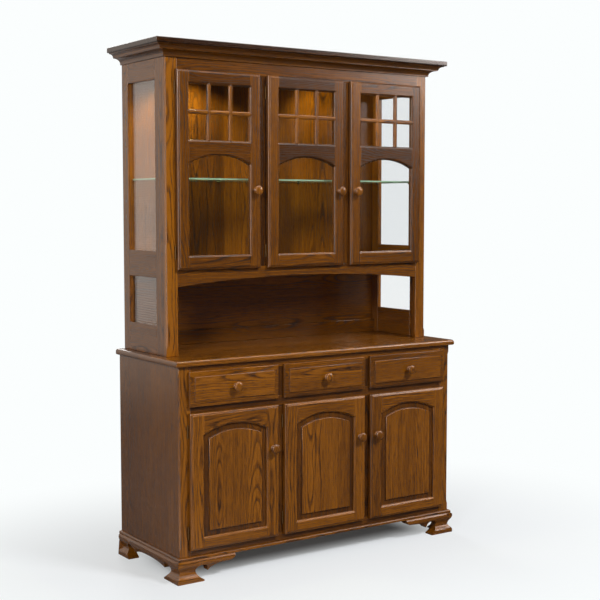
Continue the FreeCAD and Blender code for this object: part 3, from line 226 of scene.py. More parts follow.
# Floor: half width, points along a side, roughness, and the half sizes of the shadow's core.
FLOOR_REACH, FLOOR_POINTS, FLOOR_ROUGH, SHADOW_CORE = 14.0, 15, 0.7, (0.50, 0.04)
# The floor turns white with the distance: a near and a far stretch, and the share that each adds.
NEAR_STRETCH, NEAR_WHITE, FAR_STRETCH, FAR_WHITE = (0.0, 0.22), (0.04, 0.50), (0.0, 1.6), (0.0, 0.50)
# Mirrors see the floor dimmed towards the right: weights of the place (x, y), where it grows, least and most.
DIM_WAY, DIM_SPAN, DIM_SHARES = (0.9, -0.25), (-0.6, 0.4), (0.34, 0.90)
# Level of the dimmed floor, its share for scattered light, and the bright floor far off.
DIM_LEVEL, SCATTER_DIM, DISTANT_STRETCH, DISTANT_LEVEL = 0.03, 0.6, (3.5, 7.0), 1.4


class OakFinish(bpy.types.PropertyGroup):
    light: bpy.props.FloatVectorProperty(
        name="Light wood", description="Colour of the late wood under the stain", subtype="COLOR", size=3,
        default=(0.290, 0.099, 0.0062), min=0, max=1)
    mid: bpy.props.FloatVectorProperty(
        name="Middle wood", description="Colour between the growth rings", subtype="COLOR", size=3,
        default=(0.138, 0.0435, 0.0030), min=0, max=1)
    dark: bpy.props.FloatVectorProperty(
        name="Dark wood", description="Colour of the porous early wood", subtype="COLOR", size=3,
        default=(0.020, 0.0060, 0.0012), min=0, max=1)
    ring: bpy.props.FloatProperty(
        name="Ring width", description="Spacing of the growth rings", subtype="DISTANCE",
        default=0.0052, min=0.001, max=0.05)
    plank: bpy.props.FloatProperty(
        name="Plank width", description="Width of the planks that wide boards are glued from",
        subtype="DISTANCE", default=0.118, min=0.03, max=1.0)
    ease: bpy.props.FloatProperty(
        name="Eased edge", description="Rounding of plain board edges", subtype="DISTANCE",
        default=0.0015, min=0.0002, max=0.01)


class StageLook(bpy.types.PropertyGroup):
    floor: bpy.props.FloatVectorProperty(
        name="Floor", description="Colour of the studio floor", subtype="COLOR", size=3,
        default=(0.72, 0.755, 0.81), min=0, max=1)
    studio_light: bpy.props.FloatProperty(
        name="Studio light", description="Power that each studio light has its share of", subtype="POWER",
        default=200.0, min=0)
    cabinet_light: bpy.props.FloatProperty(
        name="Cabinet light", description="Power that each round lamp in the hutch has its share of",
        subtype="POWER", default=24.0, min=0)


def merged(points, tolerance):
    """Points rounded to a tolerance, each place once, and the number of the place that each point went to."""
    steps = np.round(points / tolerance).astype(np.int64)
    places, numbers = np.unique(steps, axis=0, return_inverse=True)
    return places * tolerance, numbers.reshape(-1)


def solids(node):
    """Boxes of a CAD node's separate solids: points are merged by place, then triangles that share an edge
    no third one has pass on their lowest label until nothing changes."""
    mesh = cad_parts[node].data
    points = np.empty(len(mesh.vertices) * 3)
    mesh.vertices.foreach_get("co", points)
    mesh.calc_loop_triangles()
    tris = np.empty(len(mesh.loop_triangles) * 3, dtype=np.int64)
    mesh.loop_triangles.foreach_get("vertices", tris)
    places, numbers = merged(points.reshape(-1, 3), WELD)
    tris = numbers[tris].reshape(-1, 3)
    edges = np.sort(tris[:, ((0, 1), (1, 2), (2, 0))].reshape(-1, 2), axis=1)
    owner = np.repeat(np.arange(len(tris)), 3)
    _, kind, times = np.unique(edges, axis=0, return_inverse=True, return_counts=True)
    kind = kind.reshape(-1)
    order = np.argsort(kind, kind="stable")
    paired = order[times[kind[order]] == 2]
    first, second = owner[paired[0::2]], owner[paired[1::2]]
    labels = np.arange(len(tris))
    while True:
        lowest = np.minimum(labels[first], labels[second])
        fresh = labels.copy()
        np.minimum.at(fresh, first, lowest)
        np.minimum.at(fresh, second, lowest)
        fresh = fresh[fresh]
        if np.array_equal(fresh, labels):
            break
        labels = fresh
    groups = [places[tris[labels == label]] for label in np.unique(labels)]
    boxes = [(group.min(axis=(0, 1)), group.max(axis=(0, 1))) for group in groups]
    return sorted(boxes, key=lambda box: tuple(np.round(box[0], 4)))


def node_box(node):
    """Low and high corner of a CAD node as arrays."""
    low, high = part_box(node)
    return np.array(low), np.array(high)


def turned_outwards(points, faces):
    """Faces of a closed board, turned round if they look inwards: the tetrahedra from the origin over a fan
    of triangles per face add up to the board's volume, which is positive where the faces look outwards."""
    fan = [(face[0], *pair) for face in faces for pair in zip(face[1:-1], face[2:])]
    one, two, three = points[np.array(fan)].transpose(1, 0, 2)
    volume = np.einsum("ij,ij->i", one, np.cross(two, three)).sum()
    return faces if volume > 0 else [face[::-1] for face in faces]


def linked_object(name, data):
    """A new object in the scene."""
    item = bpy.data.objects.new(name, data)
    bpy.context.scene.collection.objects.link(item)
    return item


class Timber:
    """Gathers boards into one mesh. Each board has its own grain frame, tone and seeded place in the log."""

    def __init__(self, name, tone=0.0):
        self.name = name
        self.base_tone = tone
        seed = sum(ord(letter) * (k + SEED_SHIFT) for k, letter in enumerate(name))
        self.random = np.random.default_rng(seed)
        self.points, self.faces, self.grain, self.board, self.tone = [], [], [], [], []
        self.count = 0

    def add(self, points, faces, grain_axes, tone=0.0):
        """Adds a closed board of points, with faces as index lists. Grain is the point seen from the board's
        middle in (along, across, through); a higher tone, for all points or for each, is darker."""
        points = np.asarray(points, dtype=float)
        centre = (points.min(axis=0) + points.max(axis=0)) / 2
        local = (points - centre) @ grain_axes.T
        local[:, 0] += self.random.uniform(-LOG_REACH, LOG_REACH)
        faces = turned_outwards(points - centre, faces)
        self.points.append(points)
        self.faces += [[index + self.count for index in face] for face in faces]
        self.grain.append(local)
        self.board.append(np.full(len(points), self.random.random()))
        self.tone.append(np.full(len(points), self.base_tone) + tone)
        self.count += len(points)

    def piece(self, node, body=ROOT, wood="oak"):
        """Makes the mesh object that replaces a CAD node, dresses it and ties it to its body."""
        mesh = bpy.data.meshes.new(self.name)
        mesh.from_pydata(np.concatenate(self.points), [], self.faces)
        grain = mesh.attributes.new("grain", "FLOAT_VECTOR", "POINT")
        grain.data.foreach_set("vector", np.concatenate(self.grain).astype(np.float32).reshape(-1))
        for word, values in (("board", self.board), ("tone", self.tone)):
            attribute = mesh.attributes.new(word, "FLOAT", "POINT")
            attribute.data.foreach_set("value", np.concatenate(values).astype(np.float32))
        mesh.validate()
        mesh.shade_smooth()
        mesh.set_sharp_from_angle(angle=SHARP_ANGLE)
        mesh.materials.append(FINISHES[wood])
        item = linked_object(self.name, mesh)
        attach(item, body)
        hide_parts(node)


def grid_faces(rows, columns, closed=False):
    """Quads of a grid of points in row order; a closed grid joins its last column to its first."""
    span = columns if closed else columns - 1
    row, column = np.meshgrid(np.arange(rows - 1), np.arange(span), indexing="ij")
    near, beside = row * columns, (column + 1) % columns
    far = near + columns
    quads = np.stack((near + column, near + beside, far + beside, far + column), axis=-1)
    return quads.reshape(-1, 4).tolist()


def tube_faces(rows, columns):
    """Faces of a closed grid, with its first and last row as ends."""
    first = list(range(columns))
    last = [(rows - 1) * columns + k for k in first]
    return grid_faces(rows, columns, closed=True) + [first[::-1], last]


def eased_box(low, high, ease):
    """A box with rounded edges: each grid point on the plain box goes to the nearest point of the box shrunk
    by the radius, then out again by the radius along the line between the two."""
    half = (high - low) / 2
    ease = min(ease, half.min() * EASE_LIMIT_SHARE)
    steps = np.array(EASE_STEP_SHARES) * ease
    ticks = [np.concatenate((steps - reach, (reach - steps)[::-1])) for reach in half]
    points, faces, count = [], [], 0
    for axis in range(3):
        first, second = (axis + 1) % 3, (axis + 2) % 3
        a, b = np.meshgrid(ticks[first], ticks[second], indexing="ij")
        for side in (-1, 1):
            grid = np.empty(a.shape + (3,))
            grid[..., first] = a
            grid[..., second] = b
            grid[..., axis] = side * half[axis]
            quads = np.array(grid_faces(*a.shape)) + count
            faces.append(quads[:, ::-side])
            points.append(grid.reshape(-1, 3))
            count += a.size
    points = np.concatenate(points)
    core = np.clip(points, ease - half, half - ease)
    away = points - core
    points = core + away * (ease / np.linalg.norm(away, axis=1, keepdims=True))
    places, numbers = merged(points, FINE_WELD)
    return places + (low + high) / 2, numbers[np.concatenate(faces)].tolist()


def long_grain(low, high):
    """Grain frame with the grain along a box's longest side and its thinnest side through."""
    return np.eye(3)[np.argsort(low - high)]


def add_boards(timber, boxes, ease, grain_axes=None, tone=0.0):
    """Adds one eased board for each box; its grain runs along it unless a frame is given."""
    for corners in boxes:
        low, high = np.asarray(corners, dtype=float)
        axes = long_grain(low, high) if grain_axes is None else grain_axes
        timber.add(*eased_box(low, high, ease), axes, tone)


def plain_boards(node, wood="oak", body=ROOT, ease=None, grain_axes=None, tone=0.0):
    """Replaces a node of plain boards by eased ones."""
    timber = Timber(f"{node}_boards")
    add_boards(timber, solids(node), ease or bpy.context.scene.oak_finish.ease, grain_axes, tone)
    timber.piece(node, body, wood)


def insets(mould):
    """A moulding's distances in from its edge."""
    return np.array(mould)[:, 0] * MM


def moulding(mould, inset):
    """Depth of a moulding at a distance in from its edge: straight lines between its points."""
    return np.interp(inset, insets(mould), np.array(mould)[:, 1] * MM)


def gap_to(spans, place):
    """Distance from each place to the nearest of some spans along a line, 0 inside one."""
    return np.min([np.maximum(0, np.maximum(low - place, place - high)) for low, high in spans], axis=0)


# An edge that is moulded along its whole length, and the ends of a stile and of a member between others.
EVERYWHERE = ((-math.inf, math.inf),)
EDGE_ENDS, BUTT_ENDS = (DOOR_EDGE, DOOR_EDGE), (BUTT_END, BUTT_END)


def moulded_member(timber, upright, span, edges, moulds, ends, depths, openings=(EVERYWHERE, EVERYWHERE),
                   bend=0, tone=0.0):
    """A member of a frame as a section carried along its length. The front lies behind the face by the
    deepest of four mouldings: at the lower edge, the upper edge and both ends; an edge's moulding is mitred
    off where its opening stops.

    edges are functions that give the lower and the upper edge at each place along; openings are spans along
    both edges; depths are the places of the face and the back; bend adds places for a curved edge.
    """
    start, stop = span
    face, back = depths
    marks = [np.linspace(start, stop, bend + 2), start + insets(ends[0]), stop - insets(ends[1])]
    for spans, mould in zip(openings, moulds):
        for low, high in spans:
            marks += [low - insets(mould), high + insets(mould)]
    along = np.unique(np.round(np.concatenate(marks), MARK_DIGITS))
    along = along[(along >= start - END_ROOM) & (along <= stop + END_ROOM)]
    low, high = (edge(along)[:, None] for edge in edges)
    across = np.concatenate((low + insets(moulds[0]), high - insets(moulds[1])[::-1]), axis=1)
    depth = np.maximum(
        moulding(moulds[0], np.maximum(across - low, gap_to(openings[0], along)[:, None])),
        moulding(moulds[1], np.maximum(high - across, gap_to(openings[1], along)[:, None])))
    depth = np.maximum(depth, moulding(ends[0], along - start)[:, None])
    depth = np.maximum(depth, moulding(ends[1], stop - along)[:, None])
    across = np.concatenate((across, high, low), axis=1)
    level = np.concatenate((face + depth, np.full((len(along), 2), back)), axis=1)
    run = np.broadcast_to(along[:, None], across.shape)
    points = np.stack((across, level, run) if upright else (run, level, across), axis=-1)
    timber.add(points.reshape(-1, 3), tube_faces(*across.shape), GRAIN_Z if upright else GRAIN_X, tone)


def arc_radius(half, rise):
    """Radius of the circle through both springing points of an arch and its crown."""
    return (half ** 2 + rise ** 2) / (2 * rise)


def arch(middle, half, rise, crown):
    """An arched edge: its height at a place across follows a circle."""
    radius = arc_radius(half, rise)
    return lambda x: crown - radius + np.sqrt(np.maximum(radius ** 2 - (x - middle) ** 2, 0))


def flat(height):
    """A straight edge."""
    return lambda x: np.full(np.shape(x), height)


def ringed_field(timber, outline, table, face, back, grain_axes, recess_painted_shade):
    """A raised front: closed rings, each the outline drawn in by a distance and set behind the face by a
    depth, and a flat back. The rings behind the field take painted shade, as if the recess round the field
    lay in shadow."""
    table = np.array(table) * MM
    rings = [np.insert(outline(table[0, 0]), 1, back, axis=1)]
    rings += [np.insert(outline(inset), 1, face + depth, axis=1) for inset, depth in table]
    count = len(rings[0])
    # Painted shade on the rings that lie deeper than the field.
    recessed = np.insert(table[:, 1] > table[-1, 1] + RECESS_DEPTH, 0, False)
    tone = np.repeat(recessed * recess_painted_shade, count)
    timber.add(np.concatenate(rings), tube_faces(len(rings), count), grain_axes, tone)


def rectangle(low, high):
    """Outline of an upright board, drawn in by a distance, counter-clockwise from the front."""
    def outline(inset):
        left, foot = low[0] + inset, low[2] + inset
        right, top = high[0] - inset, high[2] - inset
        return np.array(((left, foot), (right, foot), (right, top), (left, top)))
    return outline


def arched_outline(left, right, foot, crown, rise):
    """Outline with an arched top, drawn in by a distance; the arch keeps its centre."""
    middle, half = (left + right) / 2, (right - left) / 2
    full = arc_radius(half, rise)

    def outline(inset):
        radius = full - inset
        swing = math.asin((half - inset) / radius)
        angle = np.linspace(swing, -swing, OUTLINE_BEND)
        bow = np.stack((middle + radius * np.sin(angle), crown - full + radius * np.cos(angle)), axis=1)
        return np.concatenate((((left + inset, foot + inset), (right - inset, foot + inset)), bow))
    return outline


def swept_run(timber, section, first, last, low, grain_axes, tone):
    """One run of a moulding: its section stands at both ends, at a place on plan that depends on the distance
    out."""
    section = np.array(section) * MM
    ends = [np.column_stack((place(section[:, 0]), low + section[:, 1])) for place in (first, last)]
    timber.add(np.concatenate(ends), tube_faces(2, len(section)), grain_axes, tone)


def three_runs(timber, section, half, front, rear, low, tone=0.0):
    """Left, front and right runs of a moulding, mitred at the front corners."""
    def corner(hand, at_front):
        def place(out):
            y = front - out if at_front else np.full(np.shape(out), rear)
            return np.column_stack((hand * (half + out), y))
        return place
    swept_run(timber, section, corner(-1, False), corner(-1, True), low, SIDE_RAIL_GRAIN, tone)
    swept_run(timber, section, corner(-1, True), corner(1, True), low, GRAIN_X, tone)
    swept_run(timber, section, corner(1, True), corner(1, False), low, SIDE_RAIL_GRAIN, tone)


def turned(timber, centre, section):
    """A turned piece pointing to the front: its section spun round a line along Y."""
    section = np.array(section) * MM
    angle = np.linspace(0, math.tau, KNOB_SIDES, endpoint=False)
    out, radius = section[1:-1, :1], section[1:-1, 1:]
    back = np.broadcast_to(-out, (len(out), KNOB_SIDES))
    rings = np.stack((radius * np.cos(angle), back, radius * np.sin(angle)), axis=-1)
    points = rings.reshape(-1, 3) + centre
    tips = centre - Y_AXIS * section[[0, -1], :1]
    foot, head = len(points), len(points) + 1
    last = (len(out) - 1) * KNOB_SIDES
    around = [(k, (k + 1) % KNOB_SIDES) for k in range(KNOB_SIDES)]
    faces = grid_faces(len(out), KNOB_SIDES, closed=True)
    faces += [[foot, b, a] for a, b in around]
    faces += [[head, last + a, last + b] for a, b in around]
    timber.add(np.concatenate((points, tips)), faces, KNOB_GRAIN)


def three_point_arc(shares, count, scale=1.0):
    """Points along the circle through three points given as shares of a scale."""
    a, b, c = np.array(shares) * scale
    centre = np.linalg.solve(2 * np.array((b - a, c - a)), np.array((b @ b - a @ a, c @ c - a @ a)))
    first, middle, last = (math.atan2(*(p - centre)[::-1]) for p in (a, b, c))
    turn = (last - first) % math.tau
    if (middle - first) % math.tau > turn:
        turn -= math.tau
    angle = first + np.linspace(0, 1, count) * turn
    return centre + np.linalg.norm(a - centre) * np.stack((np.cos(angle), np.sin(angle)), axis=1)


def half_wave(height, start, stop):
    """Half a cosine wave from 0 at the start to 1 at the stop, level outside them."""
    return (1 - np.cos(math.pi * np.clip((height - start) / (stop - start), 0, 1))) / 2


def ogee(height):
    """Swell of a bracket at a share of its height: full on the foot, half a cosine wave in to the hollow,
    another out to the shoulder and a quarter ellipse in to the top."""
    fall = 1 - half_wave(height, FOOT_SHARE, HOLLOW_SHARE)
    climb = half_wave(height, HOLLOW_SHARE, SHOULDER_SHARE)
    wave = HOLLOW_SWELL_SHARE + (1 - HOLLOW_SWELL_SHARE) * np.maximum(fall, climb)
    over = np.clip((height - SHOULDER_SHARE) / (1 - SHOULDER_SHARE), 0, 1)
    return wave - (1 - TOP_SWELL_SHARE) * (1 - np.sqrt(1 - over ** 2))


def foot_edge(scale):
    """Scroll-cut lower edge from the foot's inner tip to the spur: a notch arc and a crown arc."""
    tip = np.array((NOTCH_ARC_SHARES[0][0], 0)) * scale
    notch = three_point_arc(NOTCH_ARC_SHARES, NOTCH_POINTS, scale)
    crown = three_point_arc(CROWN_ARC_SHARES, CROWN_POINTS, scale)[1:]
    return np.concatenate(((tip,), notch, crown, (np.array(SPUR_SHARES) * scale,)))


def cut_board(timber, outline, levels, swell, spot, grain_axes):
    """A board sawn to an outline in (along, up). Its front swells out by a table of heights, its corner end
    is mitred, and the face is divided at each level so that the swell shows. spot gives the place in space
    for arrays of (along, out, up)."""
    def out(height):
        return np.interp(height, levels, swell)
    columns = np.linspace(COLUMN_START, outline[:, 0].max() - COLUMN_END, BRACKET_COLUMNS)
    spread = np.stack(np.meshgrid(columns, levels[1:-1]), axis=-1).reshape(-1, 2)
    loop = np.concatenate((np.stack((-out(levels), levels), axis=1)[::-1], outline))
    loop = loop[np.linalg.norm(loop - np.roll(loop, 1, axis=0), axis=1) > WELD]
    count = len(loop)
    ring = [(k, (k + 1) % count) for k in range(count)]
    corners = [Vector(point) for point in np.concatenate((loop, spread)).tolist()]
    divided = geometry.delaunay_2d_cdt(corners, ring, [list(range(count))], INSIDE_ONLY, WELD)
    flatten = np.array([tuple(point) for point in divided[0]])
    faces = [list(face) for face in divided[2]]
    along, up = loop.T
    front = spot(flatten[:, 0], out(flatten[:, 1]), flatten[:, 1])
    back = spot(np.maximum(along, BRACKET_INSIDE), np.full(count, -BRACKET_INSIDE), up)
    rim = spot(along, out(up), up)
    base = len(front)
    walls = [[base + count + b, base + count + a, base + a, base + b] for a, b in ring]
    rear = [[base + k for k in range(count)][::-1]]
    corner = flatten[faces[0][:3]]
    turn = np.linalg.det(corner[1:] - corner[0])
    area = np.sum(along * np.roll(up, -1) - np.roll(along, -1) * up)
    if (area < 0) != (turn < 0):
        faces = [face[::-1] for face in faces]
    timber.add(np.concatenate((front, back, rim)), faces + walls + rear, grain_axes)


def add_node(tree, kind, inputs=None, **settings):
    """Adds a shader node; an input is a value or another node's socket."""
    item = tree.nodes.new(kind)
    for name, value in settings.items():
        setattr(item, name, value)
    for name, value in (inputs or {}).items():
        if isinstance(value, bpy.types.NodeSocket):
            tree.links.new(value, item.inputs[name])
        else:
            item.inputs[name].default_value = value
    return item


def calc(tree, operation, *numbers):
    """The result of an operation on up to three numbers."""
    return add_node(tree, "ShaderNodeMath", dict(enumerate(numbers)), operation=operation).outputs[0]


def centred(tree, chance):
    """A chance between 0 and 1, moved to lie evenly round 0."""
    return calc(tree, "SUBTRACT", chance, 0.5)


def distance(tree, aside, ahead):
    """Length of a way from its two parts: the root of the sum of their squares."""
    squares = [calc(tree, "MULTIPLY", part, part) for part in (aside, ahead)]
    return calc(tree, "SQRT", calc(tree, "ADD", *squares))


def weighted(tree, parts, weights):
    """Sum of some parts, each times its weight."""
    total = calc(tree, "MULTIPLY", parts[0], weights[0])
    for part, weight in zip(parts[1:], weights[1:]):
        total = calc(tree, "MULTIPLY_ADD", part, weight, total)
    return total


def spanned(tree, value, before=(0.0, 1.0), after=(0.0, 1.0), kind="LINEAR"):
    """A value carried from one span to another and kept inside it."""
    ends = {"From Min": before[0], "From Max": before[1], "To Min": after[0], "To Max": after[1]}
    return add_node(tree, "ShaderNodeMapRange", {"Value": value, **ends}, interpolation_type=kind).outputs[0]


def smoothed(tree, value, before, after=(0.0, 1.0)):
    """A value carried from one span to another with a soft start and end."""
    return spanned(tree, value, before, after, "SMOOTHSTEP")


def split(tree, vector):
    """The three parts of a vector."""
    return tuple(add_node(tree, "ShaderNodeSeparateXYZ", {0: vector}).outputs)


def joined(tree, *parts):
    """A vector of three parts."""
    return add_node(tree, "ShaderNodeCombineXYZ", dict(enumerate(parts))).outputs[0]


def coordinate(tree, kind):
    """The point or way that a texture is worked out from."""
    return add_node(tree, "ShaderNodeTexCoord").outputs[kind]


def mixed(tree, share, first, second):
    """A surface mixed from two, with a share of the second."""
    return add_node(tree, "ShaderNodeMixShader", {0: share, 1: first, 2: second}).outputs[0]


def mixed_colour(tree, share, first, second):
    """A colour mixed from two, with a share of the second."""
    ends = {"Factor": share, "A": first, "B": second}
    return add_node(tree, "ShaderNodeMix", ends, data_type="RGBA").outputs["Result"]


def glow(tree, colour, strength):
    """A surface that gives light."""
    return add_node(tree, "ShaderNodeEmission", {"Color": colour, "Strength": strength}).outputs[0]


def principled(tree, inputs):
    """A surface with the inputs given."""
    return add_node(tree, "ShaderNodeBsdfPrincipled", inputs).outputs[0]


def colour_ramp(tree, value, stops):
    """A colour that runs through stops of (value, colour)."""
    item = add_node(tree, "ShaderNodeValToRGB", {"Fac": value})
    elements = item.color_ramp.elements
    for element, (place, colour) in zip(elements, (stops[0], stops[-1])):
        element.position = place
        element.color = colour
    for place, colour in stops[1:-1]:
        elements.new(place).color = colour
    return item.outputs["Color"]


def grain_noise(tree, parts, noise):
    """Noise stretched along the grain: each coordinate is multiplied by its own factor."""
    stretch, scale, detail, rough = noise
    place = joined(tree, *[calc(tree, "MULTIPLY", part, factor) for part, factor in zip(parts, stretch)])
    inputs = {"Vector": place, "Scale": scale, "Detail": detail, "Roughness": rough}
    return add_node(tree, "ShaderNodeTexNoise", inputs).outputs["Fac"]


def object_noise(tree, noise):
    """Cloudy noise all over an object."""
    scale, detail = noise
    inputs = {"Vector": coordinate(tree, "Object"), "Scale": scale, "Detail": detail}
    return add_node(tree, "ShaderNodeTexNoise", inputs).outputs["Fac"]


def blank_tree(name):
    """A new material and its empty tree of nodes."""
    material = bpy.data.materials.new(name)
    material.use_nodes = True
    material.node_tree.nodes.clear()
    return material, material.node_tree


def show(tree, surface):
    """Makes a surface the look of a material."""
    add_node(tree, "ShaderNodeOutputMaterial", {"Surface": surface})


def wood_material(name, colours, ring, plank, shine=0.25, contrast=1.2):
    """Ring-porous timber. Growth rings are circles round a pith line that lies behind the face and leans
    along the board, which draws arches on it; pores are short dark strokes, thickest in the early wood; each
    plank has its own pith and tone."""
    material, tree = blank_tree(name)
    grain, board, tone = [add_node(tree, "ShaderNodeAttribute", attribute_name=word).outputs
                          for word in ("grain", "board", "tone")]
    board, tone = board["Fac"], tone["Fac"]
    along, across, through = split(tree, grain["Vector"])
    number = calc(tree, "ROUND", calc(tree, "DIVIDE", across, plank))
    key = joined(tree, calc(tree, "MULTIPLY", board, BOARD_KEY), calc(tree, "MULTIPLY", number, PLANK_KEY),
                 KEY_LEVEL)
    chance = add_node(tree, "ShaderNodeTexWhiteNoise", {"Vector": key}, noise_dimensions="3D").outputs
    one, two, three = add_node(tree, "ShaderNodeSeparateColor", {0: chance["Color"]}).outputs
    along = calc(tree, "MULTIPLY_ADD", chance["Value"], PLANK_SHIFT, along)
    place = (along, across, through)
    # The pith, seen from a point of the wood.
    wave = centred(tree, grain_noise(tree, place, WAVE_NOISE))
    beside = calc(tree, "MULTIPLY_ADD", number, -plank, across)
    beside = calc(tree, "MULTIPLY_ADD", centred(tree, one), plank * PITH_ASIDE_SHARE, beside)
    beside = calc(tree, "MULTIPLY_ADD", wave, WAVE_ASIDE, beside)
    lean = centred(tree, grain_noise(tree, (along, board, two), LEAN_NOISE))
    behind = calc(tree, "MULTIPLY_ADD", two, PITH_SPREAD, PITH_DEPTH)
    behind = calc(tree, "MULTIPLY_ADD", lean, PITH_LEAN, behind)
    behind = calc(tree, "ADD", calc(tree, "MULTIPLY_ADD", wave, WAVE_BEHIND, through), behind)
    radius = distance(tree, beside, behind)
    # Rings and pores.
    wide = grain_noise(tree, (along, radius, three), WIDTH_NOISE)
    turn = calc(tree, "MULTIPLY_ADD", wide, RING_WANDER, calc(tree, "DIVIDE", radius, ring))
    levels = [(share, (level, level, level, 1)) for share, level in RING_LEVELS]
    early = colour_ramp(tree, calc(tree, "FRACT", turn), levels)
    pores = spanned(tree, grain_noise(tree, place, PORE_NOISE), PORE_SPAN)
    pores = calc(tree, "MULTIPLY", pores, calc(tree, "MULTIPLY_ADD", early, PORE_EARLY, PORE_ANYWHERE))
    # The shade is the sum of all parts.
    shade = weighted(tree, (early, pores), (RING_SHARE * contrast, PORE_SHARE * contrast))
    streak = grain_noise(tree, place, STREAK_NOISE)
    broad = grain_noise(tree, place, BROAD_NOISE)
    for part, share in ((streak, STREAK_SHARE * contrast), (broad, BROAD_SHARE), (three, PLANK_SHARE),
                        (board, BOARD_SHARE)):
        shade = calc(tree, "MULTIPLY_ADD", centred(tree, part), share, shade)
    toned = calc(tree, "ADD", calc(tree, "ADD", shade, tone), BASE_SHADE)
    stops = [(level, (*colour, 1)) for level, colour in zip(COLOUR_SHADES, colours)]
    relief = weighted(tree, (pores, early), (PORE_RELIEF, RING_RELIEF))
    pressed = {"Strength": RELIEF_STRENGTH, "Distance": RELIEF, "Height": relief}
    show(tree, principled(tree, {
        "Base Color": colour_ramp(tree, toned, stops),
        "Roughness": spanned(tree, shade, after=(shine - SHINE_UNDER, shine + SHINE_OVER)),
        "Normal": add_node(tree, "ShaderNodeBump", pressed).outputs[0]}))
    return material


def rippled(tree, cloud, swing):
    """Direction of drawn glass: its fine level ripples tilt it up and down by a sine of the height, which a
    cloud shifts."""
    height = split(tree, coordinate(tree, "Object"))[2]
    height = calc(tree, "MULTIPLY_ADD", cloud, RIPPLE_PITCH * RIPPLE_SHIFT, height)
    wave = calc(tree, "SINE", calc(tree, "MULTIPLY", height, math.tau / RIPPLE_PITCH))
    tilt = joined(tree, 0.0, 0.0, calc(tree, "MULTIPLY", wave, swing))
    level = add_node(tree, "ShaderNodeNewGeometry").outputs["Normal"]
    leant = add_node(tree, "ShaderNodeVectorMath", {0: level, 1: tilt}, operation="ADD").outputs[0]
    return add_node(tree, "ShaderNodeVectorMath", {0: leant}, operation="NORMALIZE").outputs[0]


def glass_material(name, tint, share=1.0, edge=None, ripple=0.0):
    """Clear glass: a see-through surface that mirrors a little of the light, more at a slant, with a faint
    cloud. A shelf's edges carry their own colour and a painted glow; drawn glass has ripples in what it
    mirrors."""
    material, tree = blank_tree(name)
    cloud = object_noise(tree, CLOUD_NOISE)
    facing = add_node(tree, "ShaderNodeLayerWeight").outputs["Facing"]
    slant = calc(tree, "POWER", facing, SLANT_POWER)
    slant = calc(tree, "MULTIPLY_ADD", slant, 1 - STRAIGHT_SHARE, STRAIGHT_SHARE)
    clear = add_node(tree, "ShaderNodeBsdfTransparent", {"Color": (*tint, 1)}).outputs[0]
    polish = {"Color": WHITE, "Roughness": spanned(tree, cloud, after=(0.0, GLASS_ROUGH))}
    if ripple:
        polish["Normal"] = rippled(tree, cloud, ripple)
    mirror = add_node(tree, "ShaderNodeBsdfGlossy", polish).outputs[0]
    look = mixed(tree, calc(tree, "MULTIPLY", slant, share), clear, mirror)
    if edge is not None:
        upward = split(tree, add_node(tree, "ShaderNodeNewGeometry").outputs["True Normal"])[2]
        upright = calc(tree, "LESS_THAN", calc(tree, "ABSOLUTE", upward), EDGE_LIMIT)
        # The shelf's edges glow with painted light, though they are no lamp.
        painted_glow_edge = principled(tree, {
            "Base Color": (*edge, 1), "Roughness": EDGE_ROUGH, "Emission Color": (*edge, 1),
            "Emission Strength": EDGE_PAINTED_GLOW})
        look = mixed(tree, upright, look, painted_glow_edge)
    show(tree, look)
    return material


def metal_material(name, bright, dull, shine):
    """Aged metal: two tones mixed by a cloudy tarnish, which also roughens it."""
    material, tree = blank_tree(name)
    tarnish = object_noise(tree, TARNISH_NOISE)
    show(tree, principled(tree, {
        "Base Color": mixed_colour(tree, tarnish, (*bright, 1), (*dull, 1)),
        "Roughness": spanned(tree, tarnish, after=(shine, shine + TARNISH_ROUGH)), "Metallic": 1.0}))
    return material


def lens_material(name, colour, strength):
    """Frosted lamp lens: its glow is a little uneven."""
    material, tree = blank_tree(name)
    level = spanned(tree, object_noise(tree, FROST_NOISE), after=(strength * FROST_SHARE, strength))
    show(tree, principled(tree, {
        "Base Color": LENS_COLOUR, "Emission Color": (*colour, 1), "Emission Strength": level}))
    return material


def floor_material(name, colour):
    """Pale floor. The camera sees it keep its shadow near the piece and turn white further off; mirrors see
    it dimmer to the right, and bright far off at the left; it scatters only a part of its light."""
    material, tree = blank_tree(name)
    place = split(tree, coordinate(tree, "Object"))[:2]
    beyond = [calc(tree, "MAXIMUM", calc(tree, "SUBTRACT", calc(tree, "ABSOLUTE", part), core), 0.0)
              for part, core in zip(place, SHADOW_CORE)]
    away = distance(tree, *beyond)
    near = smoothed(tree, away, NEAR_STRETCH, NEAR_WHITE)
    far = smoothed(tree, away, FAR_STRETCH, FAR_WHITE)
    rays = add_node(tree, "ShaderNodeLightPath").outputs
    fade = calc(tree, "MULTIPLY", calc(tree, "ADD", near, far), seen_directly(tree, rays))
    paint = principled(tree, {"Base Color": (*colour, 1), "Roughness": FLOOR_ROUGH})
    look = mixed(tree, fade, paint, glow(tree, STUDIO_WHITE, 1.0))
    right = smoothed(tree, weighted(tree, place, DIM_WAY), DIM_SPAN, DIM_SHARES)
    scatter = calc(tree, "MULTIPLY", rays["Is Diffuse Ray"], SCATTER_DIM)
    dimmed = calc(tree, "MULTIPLY_ADD", rays["Is Glossy Ray"], right, scatter)
    look = mixed(tree, dimmed, look, glow(tree, WHITE, DIM_LEVEL))
    distant = smoothed(tree, away, DISTANT_STRETCH)
    distant = calc(tree, "MULTIPLY", distant, calc(tree, "SUBTRACT", 1.0, right))
    mirrored = calc(tree, "MULTIPLY", rays["Is Glossy Ray"], distant)
    show(tree, mixed(tree, mirrored, look, glow(tree, MIRROR_WHITE, DISTANT_LEVEL)))
    return material


